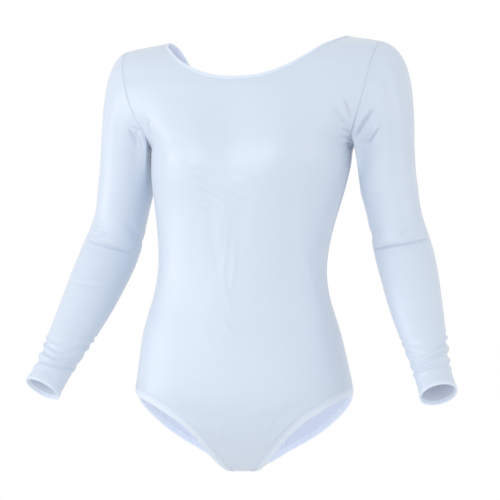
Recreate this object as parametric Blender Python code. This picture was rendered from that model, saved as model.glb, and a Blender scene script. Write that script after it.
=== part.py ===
"""Long-sleeved gymnastics leotard in the shape it has when worn, hollow and with nobody in it.

Metres, +Z up, front towards -Y, +X on the garment's own left. The origin is midway between the
two shoulder points, at their height. Each cut piece is a thin wall of stretch cloth shaped over
a general figure, and each edge ends in its own thicker turned hem.
"""

import math
from collections import namedtuple

import bmesh
import bpy
import numpy as np

# Driving dimensions
CLOTH = 0.0013
HEM_CLOTH = 0.0022
HEM_RISE = 0.0004
SEAM_GAP = 0.0003
NECK_HEM = 0.0068
LEG_HEM = 0.013
CUFF_HEM = 0.008
SHOULDER_TOP = 0.0
ARMPIT = -0.147
LEG_TOP = -0.517
CROTCH = -0.636
NECK_POINT = 0.012
ROUNDNESS = 2.2

# The seat closes under the figure from this height down to the crotch
SEAT_START = -0.490

# General figure, in level sections from the base of the neck to the crotch. Front and back are
# depths from the centre line of the side seam, whose own place is the column centre.
Section = namedtuple("Section", "height half_width front back centre")
FIGURE = [
    Section(0.024, 0.060, 0.030, 0.020, 0.035),
    Section(0.018, 0.101, 0.033, 0.024, 0.031),
    Section(0.012, 0.137, 0.037, 0.033, 0.025),
    Section(0.006, 0.169, 0.042, 0.052, 0.014),
    Section(0.000, 0.196, 0.051, 0.066, 0.004),
    Section(-0.010, 0.214, 0.066, 0.078, -0.001),
    Section(-0.022, 0.225, 0.079, 0.086, -0.002),
    Section(-0.038, 0.232, 0.089, 0.0915, -0.002),
    Section(-0.058, 0.235, 0.096, 0.0955, -0.003),
    Section(-0.080, 0.230, 0.099, 0.098, -0.004),
    Section(-0.100, 0.216, 0.101, 0.099, -0.005),
    Section(-0.118, 0.194, 0.102, 0.0995, -0.006),
    Section(-0.132, 0.173, 0.103, 0.0995, -0.007),
    Section(-0.147, 0.156, 0.104, 0.099, -0.008),
    Section(-0.170, 0.150, 0.105, 0.096, -0.010),
    Section(-0.206, 0.146, 0.104, 0.090, -0.013),
    Section(-0.260, 0.135, 0.096, 0.079, -0.019),
    Section(-0.320, 0.1265, 0.088, 0.074, -0.024),
    Section(-0.350, 0.1275, 0.088, 0.077, -0.024),
    Section(-0.386, 0.135, 0.091, 0.085, -0.022),
    Section(-0.422, 0.146, 0.096, 0.095, -0.020),
    Section(-0.458, 0.1535, 0.100, 0.104, -0.019),
    Section(-0.500, 0.1610, 0.103, 0.113, -0.018),
    Section(-0.540, 0.168, 0.105, 0.119, -0.017),
    Section(-0.575, 0.170, 0.101, 0.117, -0.015),
    Section(-0.605, 0.164, 0.093, 0.107, -0.012),
    Section(-0.640, 0.150, 0.082, 0.092, -0.010),
]

# Soft fullness of the bust on each side of the centre
Fullness = namedtuple("Fullness", "across height width tall rise")
BUST = Fullness(0.074, -0.158, 0.056, 0.062, 0.020)
BUST_MIDDLE = 0.018

# Edges of the garment on one half, each point by its distance from the centre and its height
EdgePoint = namedtuple("EdgePoint", "across height")
NECK_FRONT = [
    EdgePoint(0.000, -0.049),
    EdgePoint(0.036, -0.046),
    EdgePoint(0.069, -0.035),
    EdgePoint(0.096, -0.020),
    EdgePoint(0.115, -0.005),
    EdgePoint(0.128, 0.004),
]
NECK_BACK = [
    EdgePoint(0.131, 0.003),
    EdgePoint(0.126, -0.008),
    EdgePoint(0.120, -0.022),
    EdgePoint(0.108, -0.040),
    EdgePoint(0.088, -0.066),
    EdgePoint(0.056, -0.093),
    EdgePoint(0.000, -0.107),
]
ARMHOLE = [
    EdgePoint(0.194, -0.012),
    EdgePoint(0.191, -0.034),
    EdgePoint(0.187, -0.056),
    EdgePoint(0.183, -0.077),
    EdgePoint(0.178, -0.095),
    EdgePoint(0.171, -0.112),
    EdgePoint(0.164, -0.127),
    EdgePoint(0.158, -0.139),
]
# The right sleeve's seam is drawn further onto the front
RIGHT_ARMHOLE_FRONT = [
    EdgePoint(0.194, -0.012),
    EdgePoint(0.189, -0.034),
    EdgePoint(0.182, -0.056),
    EdgePoint(0.176, -0.077),
    EdgePoint(0.169, -0.095),
    EdgePoint(0.162, -0.112),
    EdgePoint(0.154, -0.127),
    EdgePoint(0.153, -0.139),
]
LEG_FRONT = [
    EdgePoint(0.139, -0.530),
    EdgePoint(0.100, -0.553),
    EdgePoint(0.074, -0.575),
    EdgePoint(0.061, -0.590),
    EdgePoint(0.050, -0.605),
    EdgePoint(0.040, -0.618),
    EdgePoint(0.030, -0.629),
]
LEG_BACK = [
    EdgePoint(0.031, -0.630),
    EdgePoint(0.042, -0.624),
    EdgePoint(0.064, -0.611),
    EdgePoint(0.091, -0.596),
    EdgePoint(0.118, -0.578),
    EdgePoint(0.140, -0.558),
    EdgePoint(0.157, -0.536),
]
CROTCH_HALF_WIDTH = 0.022

# The left arm, from below the shoulder to the cuff's open end
ArmRing = namedtuple("ArmRing", "x y z half_width half_depth")
ARM = [
    ArmRing(0.205, 0.008, -0.215, 0.0425, 0.0450),
    ArmRing(0.214, 0.010, -0.260, 0.0400, 0.0430),
    ArmRing(0.226, 0.005, -0.303, 0.0430, 0.0425),
    ArmRing(0.239, -0.010, -0.342, 0.0425, 0.0415),
    ArmRing(0.252, -0.030, -0.382, 0.0395, 0.0385),
    ArmRing(0.273, -0.061, -0.440, 0.0320, 0.0325),
    ArmRing(0.290, -0.086, -0.486, 0.0270, 0.0280),
    ArmRing(0.301, -0.102, -0.513, 0.0275, 0.0285),
]
LEFT_CAP_REACH = 0.196
RIGHT_CAP_REACH = 0.145
CAP_LANDING = 0.190
UNDER_REACH = 0.050
UNDER_LANDING = 0.060
CAP_TOP_WAY = (0.86, 0.0, -0.50)
CAP_FRONT_WAY = (0.50, 0.30, -0.80)
CAP_UNDER_WAY = (0.36, 0.02, -0.93)
CAP_BACK_WAY = (0.50, -0.30, -0.80)

# How the body of the garment sways and turns below the armpits
Stance = namedtuple("Stance", "height sway turn_degrees")
STANCE = [
    Stance(-0.147, 0.000, 0.0),
    Stance(-0.206, -0.004, 1.5),
    Stance(-0.260, -0.009, 3.6),
    Stance(-0.320, -0.014, 6.0),
    Stance(-0.420, -0.018, 9.6),
    Stance(-0.500, -0.015, 11.5),
    Stance(-0.640, -0.017, 11.5),
]

STANCE_START = 0.060

# The left shoulder is held a little higher than the right, fading out below the armpits
SHOULDER_TILT = 0.020
TILT_TOP = -0.060
TILT_REACH = 0.170

# Largest folds of the body, each a trough from one point to another, as seen from the front
Crease = namedtuple("Crease", "across height to_across to_height width depth")
FRONT_CREASES = [
    Crease(0.158, -0.084, 0.146, -0.124, 0.012, 0.0026),
    Crease(-0.150, -0.098, -0.140, -0.138, 0.012, 0.0026),
    Crease(-0.040, -0.180, -0.026, -0.340, 0.016, 0.0010),
    Crease(0.016, -0.200, 0.006, -0.310, 0.016, 0.0008),
    Crease(0.088, -0.535, 0.030, -0.560, 0.015, 0.0015),
    Crease(-0.088, -0.535, -0.030, -0.560, 0.015, 0.0015),
]
BACK_CREASES = [
    Crease(0.152, -0.086, 0.136, -0.132, 0.012, 0.0026),
    Crease(-0.152, -0.090, -0.134, -0.130, 0.012, 0.0026),
    Crease(-0.110, -0.296, -0.020, -0.318, 0.017, 0.0024),
    Crease(0.108, -0.330, 0.016, -0.345, 0.017, 0.0024),
    Crease(-0.060, -0.590, -0.020, -0.560, 0.015, 0.0016),
    Crease(0.060, -0.590, 0.020, -0.560, 0.015, 0.0016),
]

# Largest folds of each sleeve. Turn is the angle round the arm: 0 outside, 90 front, 180 inside
SleeveCrease = namedtuple("SleeveCrease", "height turn to_height to_turn width depth")
LEFT_SLEEVE_CREASES = [
    SleeveCrease(-0.096, 75, -0.134, 118, 0.011, 0.0026),
    SleeveCrease(-0.126, 100, -0.158, 140, 0.011, 0.0026),
    SleeveCrease(-0.286, 20, -0.308, 150, 0.012, 0.0034),
    SleeveCrease(-0.272, 120, -0.288, 190, 0.012, 0.0014),
    SleeveCrease(-0.110, 285, -0.150, 240, 0.011, 0.0026),
]
RIGHT_SLEEVE_CREASES = [
    SleeveCrease(-0.124, 88, -0.150, 140, 0.011, 0.0028),
    SleeveCrease(-0.288, 25, -0.314, 155, 0.012, 0.0034),
    SleeveCrease(-0.350, 60, -0.364, 130, 0.012, 0.0018),
    SleeveCrease(-0.104, 280, -0.146, 236, 0.011, 0.0026),
]

# Height where each sleeve's solid is parted, so that its collision pieces follow the bend
PARTING = -0.318
PARTING_CLEAR = 0.004

# Gathers pushed up above each cuff, as rings of soft waves
CUFF_GATHERS = 5
GATHER_PITCH = 0.0125
GATHER_DEPTH = 0.0019
GATHER_END = -0.485
GATHER_SLANT = 0.006

GATHER_TURN = 30.0
GATHER_PHASE = 0.25
GATHER_RISE_WAVES = 0.8
GATHER_FADE_WAVES = 1.6

# How far from a seam the folds and the bust's fullness are held down
SIDE_HOLD = 0.045
NECK_HOLD = 0.035
CAP_HOLD = 0.22

# How far round the armpit reaches on the cap, in degrees, at its start and where it lands
UNDER_SPREAD = 38.0
UNDER_LANDING_SPREAD = 60.0
CAP_GAP_SHARE = 0.6
CAP_TURNS = (0.0, 90.0, 180.0, 270.0, 360.0)
ARM_RADIUS = 0.042

# Points in the middle of the open neck, the left armhole and the left leg opening
NECK_HOLE = (0.0, 0.0, 0.05)
ARMHOLE_HOLE = (0.25, 0.0, -0.07)
LEG_HOLE = (0.12, -0.02, -0.68)
CROTCH_RISE = 0.002
SIDE_BLEND = 0.060

# How finely each piece is divided
COLUMNS = 9
LEG_ROWS = 9
SIDE_ROWS = 18
ARMHOLE_ROWS = 10
FRONT_CHEST_ROWS = 3
BACK_CHEST_ROWS = 2
CAP_RINGS = 8
UPPER_ARM_RINGS = 4
ELBOW_RINGS = 6
FOREARM_RINGS = 4
GATHER_RINGS = 17
ELBOW_TOP = -0.268
ELBOW_END = -0.322
GATHER_TAIL = 0.006
LAST_RING_GAP = 0.004
LINE_STEPS = 24
LINE_POINTS = 288
ARM_POINTS = 400

# Small lengths and angles for the reckoning itself
SETTLE_ROUNDS = 9
SMALL_STEP = 1e-5
SHORT_WAY = 0.001
REACH_STEP = 0.001
TURN_STEP = 0.5
ROW_TOLERANCE = 1e-9
JOIN_DISTANCE = 2e-6
SHARP_ANGLE = 50

PALE_BLUE = (0.62, 0.71, 0.84, 1.0)
CLOTH_ROUGHNESS = 0.36


def clear_scene():
    """Starts from nothing."""
    for thing in list(bpy.data.objects):
        bpy.data.objects.remove(thing, do_unlink=True)


def unit(vectors):
    """Vectors of the same direction and length one."""
    return vectors / np.linalg.norm(vectors, axis=-1, keepdims=True)


def spline_slopes(places, values):
    """Slopes at each place of the smoothest cubic line through the values."""
    count = len(places)
    step = np.diff(places)
    rise = np.diff(values, axis=0) / step.reshape((-1,) + (1,) * (values.ndim - 1))
    matrix = np.zeros((count, count))
    right = np.zeros_like(values)
    matrix[0, :2] = 2.0, 1.0
    matrix[-1, -2:] = 1.0, 2.0
    right[0], right[-1] = 3.0 * rise[0], 3.0 * rise[-1]
    for i in range(1, count - 1):
        matrix[i, i - 1 : i + 2] = step[i], 2.0 * (step[i - 1] + step[i]), step[i - 1]
        right[i] = 3.0 * (step[i] * rise[i - 1] + step[i - 1] * rise[i])
    return np.linalg.solve(matrix, right)


class Spline:
    """Smooth line through values at rising places, read at any place between them."""

    def __init__(self, places, values):
        self.places = np.array(places, float)
        self.values = np.array(values, float)
        self.slopes = spline_slopes(self.places, self.values)

    def __call__(self, wanted):
        wanted = np.clip(wanted, self.places[0], self.places[-1])
        index = np.clip(np.searchsorted(self.places, wanted) - 1, 0, len(self.places) - 2)
        step = self.places[index + 1] - self.places[index]
        t = (wanted - self.places[index]) / step
        if self.values.ndim > 1:
            t, step = t[..., None], step[..., None]
        start, end = self.values[index], self.values[index + 1]
        lean, land = self.slopes[index] * step, self.slopes[index + 1] * step
        return hermite(start, lean, end, land, t)


def hermite(start, lean, end, land, t):
    """Cubic from start to end, leaving along lean and landing along land."""
    s = 1.0 - t
    leaving = s * s * (1 + 2 * t) * start + t * s * s * lean
    return leaving + t * t * (3 - 2 * t) * end - t * t * s * land


def table_line(table, column):
    """A table's column as a smooth line over its heights."""
    rows = sorted(table, key=lambda row: row.height)
    return Spline([row.height for row in rows], [getattr(row, column) for row in rows])


WIDTH_AT = table_line(FIGURE, "half_width")
FRONT_AT = table_line(FIGURE, "front")
BACK_AT = table_line(FIGURE, "back")
CENTRE_AT = table_line(FIGURE, "centre")
SWAY_AT = table_line(STANCE, "sway")
TURN_AT = table_line(STANCE, "turn_degrees")


def seat(height):
    """Nought above the seat, rising to one at the crotch, where the figure closes."""
    drop = np.clip((SEAT_START - height) / (SEAT_START - CROTCH), 0.0, None)
    return drop**ROUNDNESS


def figure(points):
    """Below nought inside the figure, nought on it and above nought outside."""
    x, y, z = points[..., 0], points[..., 1], points[..., 2]
    deep = y - CENTRE_AT(z)
    depth = np.where(deep < 0, FRONT_AT(z), BACK_AT(z))
    return np.abs(x / WIDTH_AT(z)) ** ROUNDNESS + np.abs(deep / depth) ** ROUNDNESS + seat(z) - 1.0


def slope_of(points):
    """How fast figure() grows along each axis."""
    steps = np.eye(3) * SMALL_STEP
    parts = [(figure(points + step) - figure(points - step)) / (2 * SMALL_STEP) for step in steps]
    return np.stack(parts, axis=-1)


def settle(points):
    """Points moved the shortest way onto the figure."""
    for _ in range(SETTLE_ROUNDS):
        slope = slope_of(points)
        points = points - (figure(points) / (slope**2).sum(-1))[..., None] * slope
    return points


def on_face(point, face):
    """Place on the figure of an edge point: face -1 is the front and 1 the back."""
    room = 1.0 - (point.across / WIDTH_AT(point.height)) ** ROUNDNESS - seat(point.height)
    depth = FRONT_AT(point.height) if face < 0 else BACK_AT(point.height)
    deep = CENTRE_AT(point.height) + face * depth * room ** (1 / ROUNDNESS)
    return np.array([point.across, deep, point.height])


def on_side(height):
    """Place on the line where front and back meet, at a height."""
    height = np.asarray(height, float)
    across = WIDTH_AT(height) * (1.0 - seat(height)) ** (1 / ROUNDNESS)
    return np.stack([across, CENTRE_AT(height), height], axis=-1)


def loop_through(points):
    """Dense closed line on the figure through the points, LINE_STEPS to each span."""
    points = np.array(points)
    padded = np.concatenate([points[-1:], points, points[:2]])
    t = np.linspace(0.0, 1.0, LINE_STEPS, endpoint=False)[:, None]
    spans = [
        hermite(b, (c - a) / 2, c, (d - b) / 2, t)
        for a, b, c, d in zip(padded, padded[1:], padded[2:], padded[3:])
    ]
    return settle(np.concatenate(spans + [padded[-2:-1]]))


def outward(points):
    """Unit vectors straight out of the figure."""
    return unit(slope_of(points))


class EdgeRing:
    """A closed edge of the garment on the figure, with the way off its panel at each point."""

    def __init__(self, controls, hole_centre):
        line = loop_through(controls)
        ahead = np.roll(line[:-1], -1, axis=0)
        behind = np.roll(line[:-1], 1, axis=0)
        run = unit(ahead - behind)
        across = unit(np.cross(outward(line), np.concatenate([run, run[:1]])))
        to_hole = np.array(hole_centre) - line
        self.line = line
        self.off = across if (across * to_hole).sum() > 0 else -across

    def span(self, first, last, inset=0.0, lift=0.0):
        """Stretch of the ring between two of its control points, inset onto the panel."""
        rows = slice(first * LINE_STEPS, last * LINE_STEPS + 1)
        moved = settle(self.line[rows] - self.off[rows] * inset)
        return moved + outward(moved) * lift


def mirrored(points):
    """The same points on the other half of the garment."""
    return points * np.array([-1.0, 1.0, 1.0])


def spots(line, fractions):
    """Points at the given fractions of a line's length."""
    distance = np.concatenate([[0.0], np.cumsum(np.linalg.norm(np.diff(line, axis=0), axis=1))])
    wanted = np.asarray(fractions) * distance[-1]
    return np.stack([np.interp(wanted, distance, line[:, axis]) for axis in range(3)], axis=-1)


def rail_points(rail, rows):
    """Points at row numbers along a rail, a list of (first row, last row, line)."""
    rows = np.asarray(rows, float)
    result = np.zeros(rows.shape + (3,))
    for first, last, line in rail:
        inside = (rows >= first - ROW_TOLERANCE) & (rows <= last + ROW_TOLERANCE)
        result[inside] = spots(line, (rows[inside] - first) / (last - first))
    return result


def neck_ring():
    """Whole neckline: front half, neck point, back half, and the same on the other side."""
    half = [on_face(point, -1) for point in NECK_FRONT] + [on_side(NECK_POINT)]
    half += [on_face(point, 1) for point in NECK_BACK]
    other = [mirrored(point) for point in half[-2:0:-1]]
    return EdgeRing(half + other, NECK_HOLE)


def armhole_ring(front_edge):
    """Armhole on the left half, given its front edge: shoulder, front, armpit and back."""
    front = [on_face(point, -1) for point in front_edge]
    back = [on_face(point, 1) for point in reversed(ARMHOLE)]
    whole = [on_side(SHOULDER_TOP)] + front + [on_side(ARMPIT)] + back
    return EdgeRing(whole, ARMHOLE_HOLE)


def leg_ring():
    """Left leg opening: side, front, crotch and back."""
    crotch = settle(np.array([[CROTCH_HALF_WIDTH, on_side(CROTCH + CROTCH_RISE)[1], CROTCH]]))[0]
    front = [on_face(point, -1) for point in LEG_FRONT]
    back = [on_face(point, 1) for point in LEG_BACK]
    return EdgeRing([on_side(LEG_TOP)] + front + [crotch] + back, LEG_HOLE)


NECK = neck_ring()
ARMHOLES = {1: armhole_ring(ARMHOLE), -1: armhole_ring(RIGHT_ARMHOLE_FRONT)}
LEGS = leg_ring()
NECK_MIDDLE = len(NECK_FRONT)
NECK_END = NECK_MIDDLE + len(NECK_BACK)
ARMHOLE_MIDDLE = len(ARMHOLE) + 1
ARMHOLE_END = 2 * ARMHOLE_MIDDLE
LEG_MIDDLE = len(LEG_FRONT) + 1
LEG_END = LEG_MIDDLE + len(LEG_BACK) + 1
SIDE_START = LEG_ROWS
SIDE_END = SIDE_START + SIDE_ROWS
LAST_ROW = SIDE_END + ARMHOLE_ROWS


def centre_line(face, low, high):
    """Line down the middle of the front or back between two heights."""
    t = np.linspace(0.0, 1.0, LINE_POINTS)
    height = low + (high - low) * t * t
    room = np.clip(1.0 - seat(height), 0.0, None) ** (1 / ROUNDNESS)
    depth = FRONT_AT(height) if face < 0 else BACK_AT(height)
    return np.stack([np.zeros_like(t), CENTRE_AT(height) + face * depth * room, height], axis=-1)


def panel_rails(face, hand):
    """Inner and outer rails of one half of the front (face -1) or back (face 1)."""
    if face < 0:
        neck = NECK.span(0, NECK_MIDDLE, NECK_HEM + SEAM_GAP)
        arm = ARMHOLES[hand].span(0, ARMHOLE_MIDDLE, SEAM_GAP / 2)[::-1]
        leg = LEGS.span(0, LEG_MIDDLE, LEG_HEM + SEAM_GAP)[::-1]
        chest = SIDE_END + FRONT_CHEST_ROWS
    else:
        neck = NECK.span(NECK_MIDDLE, NECK_END, NECK_HEM + SEAM_GAP)[::-1]
        arm = ARMHOLES[hand].span(ARMHOLE_MIDDLE, ARMHOLE_END, SEAM_GAP / 2)
        leg = LEGS.span(LEG_MIDDLE, LEG_END, LEG_HEM + SEAM_GAP)
        chest = SIDE_END + BACK_CHEST_ROWS
    neck[0, 0] = 0.0
    side_low, side_high = leg[-1, 2], arm[0, 2]
    side = on_side(np.linspace(side_low, side_high, LINE_POINTS))
    rest = fade_in(side_low + SIDE_BLEND - side[:, 2:], SIDE_BLEND)
    side = settle(side + (leg[-1] - side[0]) * rest)
    inner = [
        (0, SIDE_START, centre_line(face, CROTCH, side_low)),
        (SIDE_START, SIDE_END, centre_line(face, side_low, side_high)),
        (SIDE_END, chest, centre_line(face, side_high, neck[0, 2])),
        (chest, LAST_ROW, neck),
    ]
    outer = [(0, SIDE_START, leg), (SIDE_START, SIDE_END, side), (SIDE_END, LAST_ROW, arm)]
    return inner, outer


def trough(distance, width):
    """Cross-section of a soft fold: a trough with a low ridge on each side."""
    q = (distance / width) ** 2
    return (2.0 * q - 1.0) * np.exp(-q)


def fold_height(places, start, end, width, depth):
    """Height of one fold over flat places, fading out towards its ends."""
    start, end = np.array(start), np.array(end)
    along = end - start
    length = np.linalg.norm(along)
    t = ((places - start) @ along) / length**2
    nearest = start + np.clip(t, 0.0, 1.0)[..., None] * along
    distance = np.linalg.norm(places - nearest, axis=-1)
    fade = np.clip(1.0 - np.abs(2.0 * np.clip(t, 0.0, 1.0) - 1.0) ** 3, 0.0, 1.0)
    return depth * fade * trough(distance, width)


def fade_in(distance, reach):
    """Nought at a seam, rising softly to one past the reach."""
    t = np.clip(distance / reach, 0.0, 1.0)
    return t * t * (3.0 - 2.0 * t)


def body_relief(points, creases, face):
    """How far the cloth of a panel stands off the plain figure."""
    x, z = points[..., 0], points[..., 2]
    rise = np.zeros_like(x)
    if face < 0:
        across = np.sqrt(x**2 + BUST_MIDDLE**2)
        away = ((across - BUST.across) / BUST.width) ** 2 + ((z - BUST.height) / BUST.tall) ** 2
        rise = rise + BUST.rise * np.exp(-away)
    flat = np.stack([x, z], axis=-1)
    for crease in creases:
        start = (crease.across, crease.height)
        end = (crease.to_across, crease.to_height)
        rise = rise + fold_height(flat, start, end, crease.width, crease.depth)
    return rise


def tilt(points):
    """Points with the left shoulder raised and the right one lowered."""
    share = 1.0 - fade_in(TILT_TOP - points[..., 2], TILT_REACH)
    height = points[..., 2] + SHOULDER_TILT * points[..., 0] * share
    return np.concatenate([points[..., :2], height[..., None]], axis=-1)


def stand(points):
    """Points of the body tilted, swayed and turned as the garment stands."""
    points = tilt(points)
    share = fade_in(ARMPIT - points[..., 2], STANCE_START)
    turn = np.radians(TURN_AT(points[..., 2])) * share
    x, y = points[..., 0], points[..., 1]
    turned_x = x * np.cos(turn) - y * np.sin(turn) + SWAY_AT(points[..., 2]) * share
    turned_y = x * np.sin(turn) + y * np.cos(turn)
    return np.stack([turned_x, turned_y, points[..., 2]], axis=-1)


def half_panel(face, creases, hand):
    """Outer and inner points of one half of a panel; hand 1 is the left half, -1 the right."""
    inner_rail, outer_rail = panel_rails(face, hand)
    rows = np.arange(LAST_ROW + 1)
    inner, outer = rail_points(inner_rail, rows), rail_points(outer_rail, rows)
    share = np.linspace(0.0, 1.0, COLUMNS + 1)[None, :, None]
    grid = settle(inner[:, None] * (1.0 - share) + outer[:, None] * share)
    grid[:, 0], grid[:, -1] = inner, outer
    side = slice(SIDE_START, SIDE_END + 1)
    grid[side, -1] += unit(grid[side, -2] - grid[side, -1]) * SEAM_GAP / 2
    grid[-1] += unit(grid[-2] - grid[-1]) * SEAM_GAP / 2
    grid[0] += unit(grid[1] - grid[0]) * SEAM_GAP / 2
    out = outward(grid)
    to_side = np.linalg.norm(grid - outer[:, None], axis=-1)
    to_neck = np.linalg.norm(grid - inner[:, None], axis=-1)
    open_rows = (inner[:, 0] > SMALL_STEP)[:, None]
    held = fade_in(to_side, SIDE_HOLD) * np.where(open_rows, fade_in(to_neck, NECK_HOLD), 1.0)
    if hand < 0:
        grid, out = mirrored(grid), mirrored(out)
    rise = (held * body_relief(grid, creases, face))[..., None]
    return stand(grid + out * rise), stand(grid + out * (rise - CLOTH))


def add_sheet(bm, place, inner_points, outer_grid, inner_grid):
    """One grid of cloth in a mesh, each vertex knowing where its inner point is."""
    rows, columns = outer_grid.shape[:2]
    made = bmesh.ops.create_grid(bm, x_segments=columns - 1, y_segments=rows - 1, size=0.5)
    ordered = sorted(made["verts"], key=lambda vert: vert.index)
    for vert, outer, inner in zip(ordered, outer_grid.reshape(-1, 3), inner_grid.reshape(-1, 3)):
        vert.co = outer
        vert[place] = len(inner_points)
        inner_points.append(inner)


def close_wall(bm, place, inner_points):
    """Turns the joined sheets into one closed wall with an inner face and a rim."""
    bmesh.ops.remove_doubles(bm, verts=bm.verts[:], dist=JOIN_DISTANCE)
    made = bmesh.ops.extrude_face_region(bm, geom=bm.faces[:], use_keep_orig=True)
    for vert in made["geom"]:
        if isinstance(vert, bmesh.types.BMVert):
            vert.co = inner_points[vert[place]]
    bmesh.ops.recalc_face_normals(bm, faces=bm.faces[:])


def cloth_piece(name, sheets):
    """An object of one cut piece from its sheets of outer and inner points."""
    bm = bmesh.new()
    place = bm.verts.layers.int.new("place")
    inner_points = []
    for outer_grid, inner_grid in sheets:
        add_sheet(bm, place, inner_points, outer_grid, inner_grid)
        bm.verts.index_update()
    close_wall(bm, place, inner_points)
    mesh = bpy.data.meshes.new(name)
    bm.to_mesh(mesh)
    bm.free()
    mesh.shade_smooth()
    mesh.set_sharp_from_angle(angle=math.radians(SHARP_ANGLE))
    mesh.materials.append(cloth_material(name))
    thing = bpy.data.objects.new(name, mesh)
    bpy.context.scene.collection.objects.link(thing)
    return thing


def cloth_material(name):
    """Pale blue shiny stretch cloth."""
    material = bpy.data.materials.new(name + "_cloth")
    material.use_nodes = True
    shader = material.node_tree.nodes["Principled BSDF"]
    shader.inputs["Base Color"].default_value = PALE_BLUE
    shader.inputs["Roughness"].default_value = CLOTH_ROUGHNESS
    shader.inputs["Metallic"].default_value = 0.0
    return material


def build_panel(name, face, creases):
    """Front or back, from its two halves joined down the middle."""
    cloth_piece(name, [half_panel(face, creases, 1), half_panel(face, creases, -1)])


def ring_rows(ring, marks, counts, inset, lift):
    """Points round a ring, evenly spaced between its marks, at an inset and a lift."""
    parts = []
    for first, last, count in zip(marks, marks[1:], counts):
        fractions = np.linspace(0.0, 1.0, count, endpoint=False)
        parts.append(spots(ring.span(first, last, inset, lift), fractions))
    return np.concatenate(parts)


def hem_sheet(ring, marks, counts, width):
    """Outer and inner points of a hem that runs from its panel to the open edge."""
    outer, inner = [], []
    for inset, lift in ((width, 0.0), (width / 2, HEM_RISE), (0.0, 0.0)):
        outer.append(ring_rows(ring, marks, counts, inset, HEM_RISE + lift))
        inner.append(ring_rows(ring, marks, counts, inset, HEM_RISE - HEM_CLOTH))
    outer, inner = np.stack(outer), np.stack(inner)
    outer = np.concatenate([outer, outer[:, :1]], axis=1)
    inner = np.concatenate([inner, inner[:, :1]], axis=1)
    return outer, inner


def build_neck_hem():
    """Turned hem all round the neck."""
    front_rows = ARMHOLE_ROWS - FRONT_CHEST_ROWS
    back_rows = ARMHOLE_ROWS - BACK_CHEST_ROWS
    marks = [0, NECK_MIDDLE, NECK_END, 2 * NECK_END - NECK_MIDDLE, 2 * NECK_END]
    counts = [front_rows, back_rows, back_rows, front_rows]
    outer, inner = hem_sheet(NECK, marks, counts, NECK_HEM)
    cloth_piece("neck_hem", [(tilt(outer), tilt(inner))])


def build_leg_hems():
    """Turned hem round each leg opening."""
    marks, counts = [0, LEG_MIDDLE, LEG_END], [LEG_ROWS, LEG_ROWS]
    outer, inner = hem_sheet(LEGS, marks, counts, LEG_HEM)
    cloth_piece("leg_hem_left", [(stand(outer), stand(inner))])
    cloth_piece("leg_hem_right", [(stand(mirrored(outer)), stand(mirrored(inner)))])


class Arm:
    """The left arm's centre line, its cross-sections and the sleeve's cap above them."""

    def __init__(self, cap_reach, armhole):
        centres = np.array([(ring.x, ring.y, ring.z) for ring in ARM])
        steps = np.linalg.norm(np.diff(centres, axis=0), axis=1)
        self.places = np.concatenate([[0.0], np.cumsum(steps)])
        self.length = self.places[-1]
        self.centre = Spline(self.places, centres)
        self.width = Spline(self.places, [ring.half_width for ring in ARM])
        self.depth = Spline(self.places, [ring.half_depth for ring in ARM])
        self.start = self.ring_of_armhole(cap_reach, armhole)

    def ring_of_armhole(self, cap_reach, armhole):
        """Lines over the turn of the arm: where the cap starts and which way it leaves."""
        parts = []
        for first, last in ((0, ARMHOLE_MIDDLE), (ARMHOLE_MIDDLE, ARMHOLE_END)):
            line = armhole.span(first, last)
            fractions = np.linspace(0.0, 1.0, 2 * LINE_STEPS, endpoint=False)
            parts.append(spots(line, fractions))
        points = settle(np.concatenate(parts))
        turns = np.linspace(0.0, 360.0, len(points), endpoint=False)
        out = outward(points)
        ways = np.array([CAP_TOP_WAY, CAP_FRONT_WAY, CAP_UNDER_WAY, CAP_BACK_WAY, CAP_TOP_WAY])
        way = unit(Spline(CAP_TURNS, ways)(turns))
        under = np.exp(-(((turns - 180.0) / UNDER_SPREAD) ** 2))[:, None]
        way = unit(way - (1.0 - under) * (way * out).sum(-1, keepdims=True) * out)
        gap = unit(way * (1.0 - under) + out * under) * SEAM_GAP * (CAP_GAP_SHARE + under)
        reach = cap_reach * (1.0 - under) + UNDER_REACH * under
        whole = np.concatenate([points + gap, way * reach], axis=1)
        turns = np.concatenate([turns, [360.0]])
        return Spline(turns, np.concatenate([whole, whole[:1]]))

    def ring(self, place, turn):
        """Points round the arm at a distance down it."""
        ahead = unit(self.centre(place + SHORT_WAY) - self.centre(place - SHORT_WAY))
        across = unit(np.array([1.0, 0.0, 0.0]) - ahead[..., :1] * ahead)
        forward = np.cross(ahead, across)
        angle = np.radians(turn)
        wide = (self.width(place) * np.cos(angle))[..., None] * across
        deep = (self.depth(place) * np.sin(angle))[..., None] * forward
        return self.centre(place) + wide + deep, ahead

    def point(self, reach, turn):
        """Sleeve before its folds: reach 0 to 1 is the cap, and 1 to 2 is down the arm."""
        reach, turn = np.broadcast_arrays(np.asarray(reach, float), np.asarray(turn, float) % 360.0)
        place = np.clip(reach - 1.0, 0.0, 1.0) * self.length
        ring, ahead = self.ring(place, turn)
        begin = self.start(turn)
        t = np.clip(reach, 0.0, 1.0)[..., None]
        under = np.exp(-(((turn - 180.0) / UNDER_LANDING_SPREAD) ** 2))[..., None]
        landing = ahead * (CAP_LANDING * (1.0 - under) + UNDER_LANDING * under)
        cap = hermite(begin[..., :3], begin[..., 3:], ring, landing, t)
        return np.where(t < 1.0, cap, ring)

    def out(self, reach, turn):
        """Unit vectors straight out of the sleeve."""
        low = np.clip(reach - REACH_STEP, 0.0, 2.0)
        high = np.clip(reach + REACH_STEP, 0.0, 2.0)
        down = self.point(high, turn) - self.point(low, turn)
        around = self.point(reach, turn + TURN_STEP) - self.point(reach, turn - TURN_STEP)
        return unit(np.cross(around, down))


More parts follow.
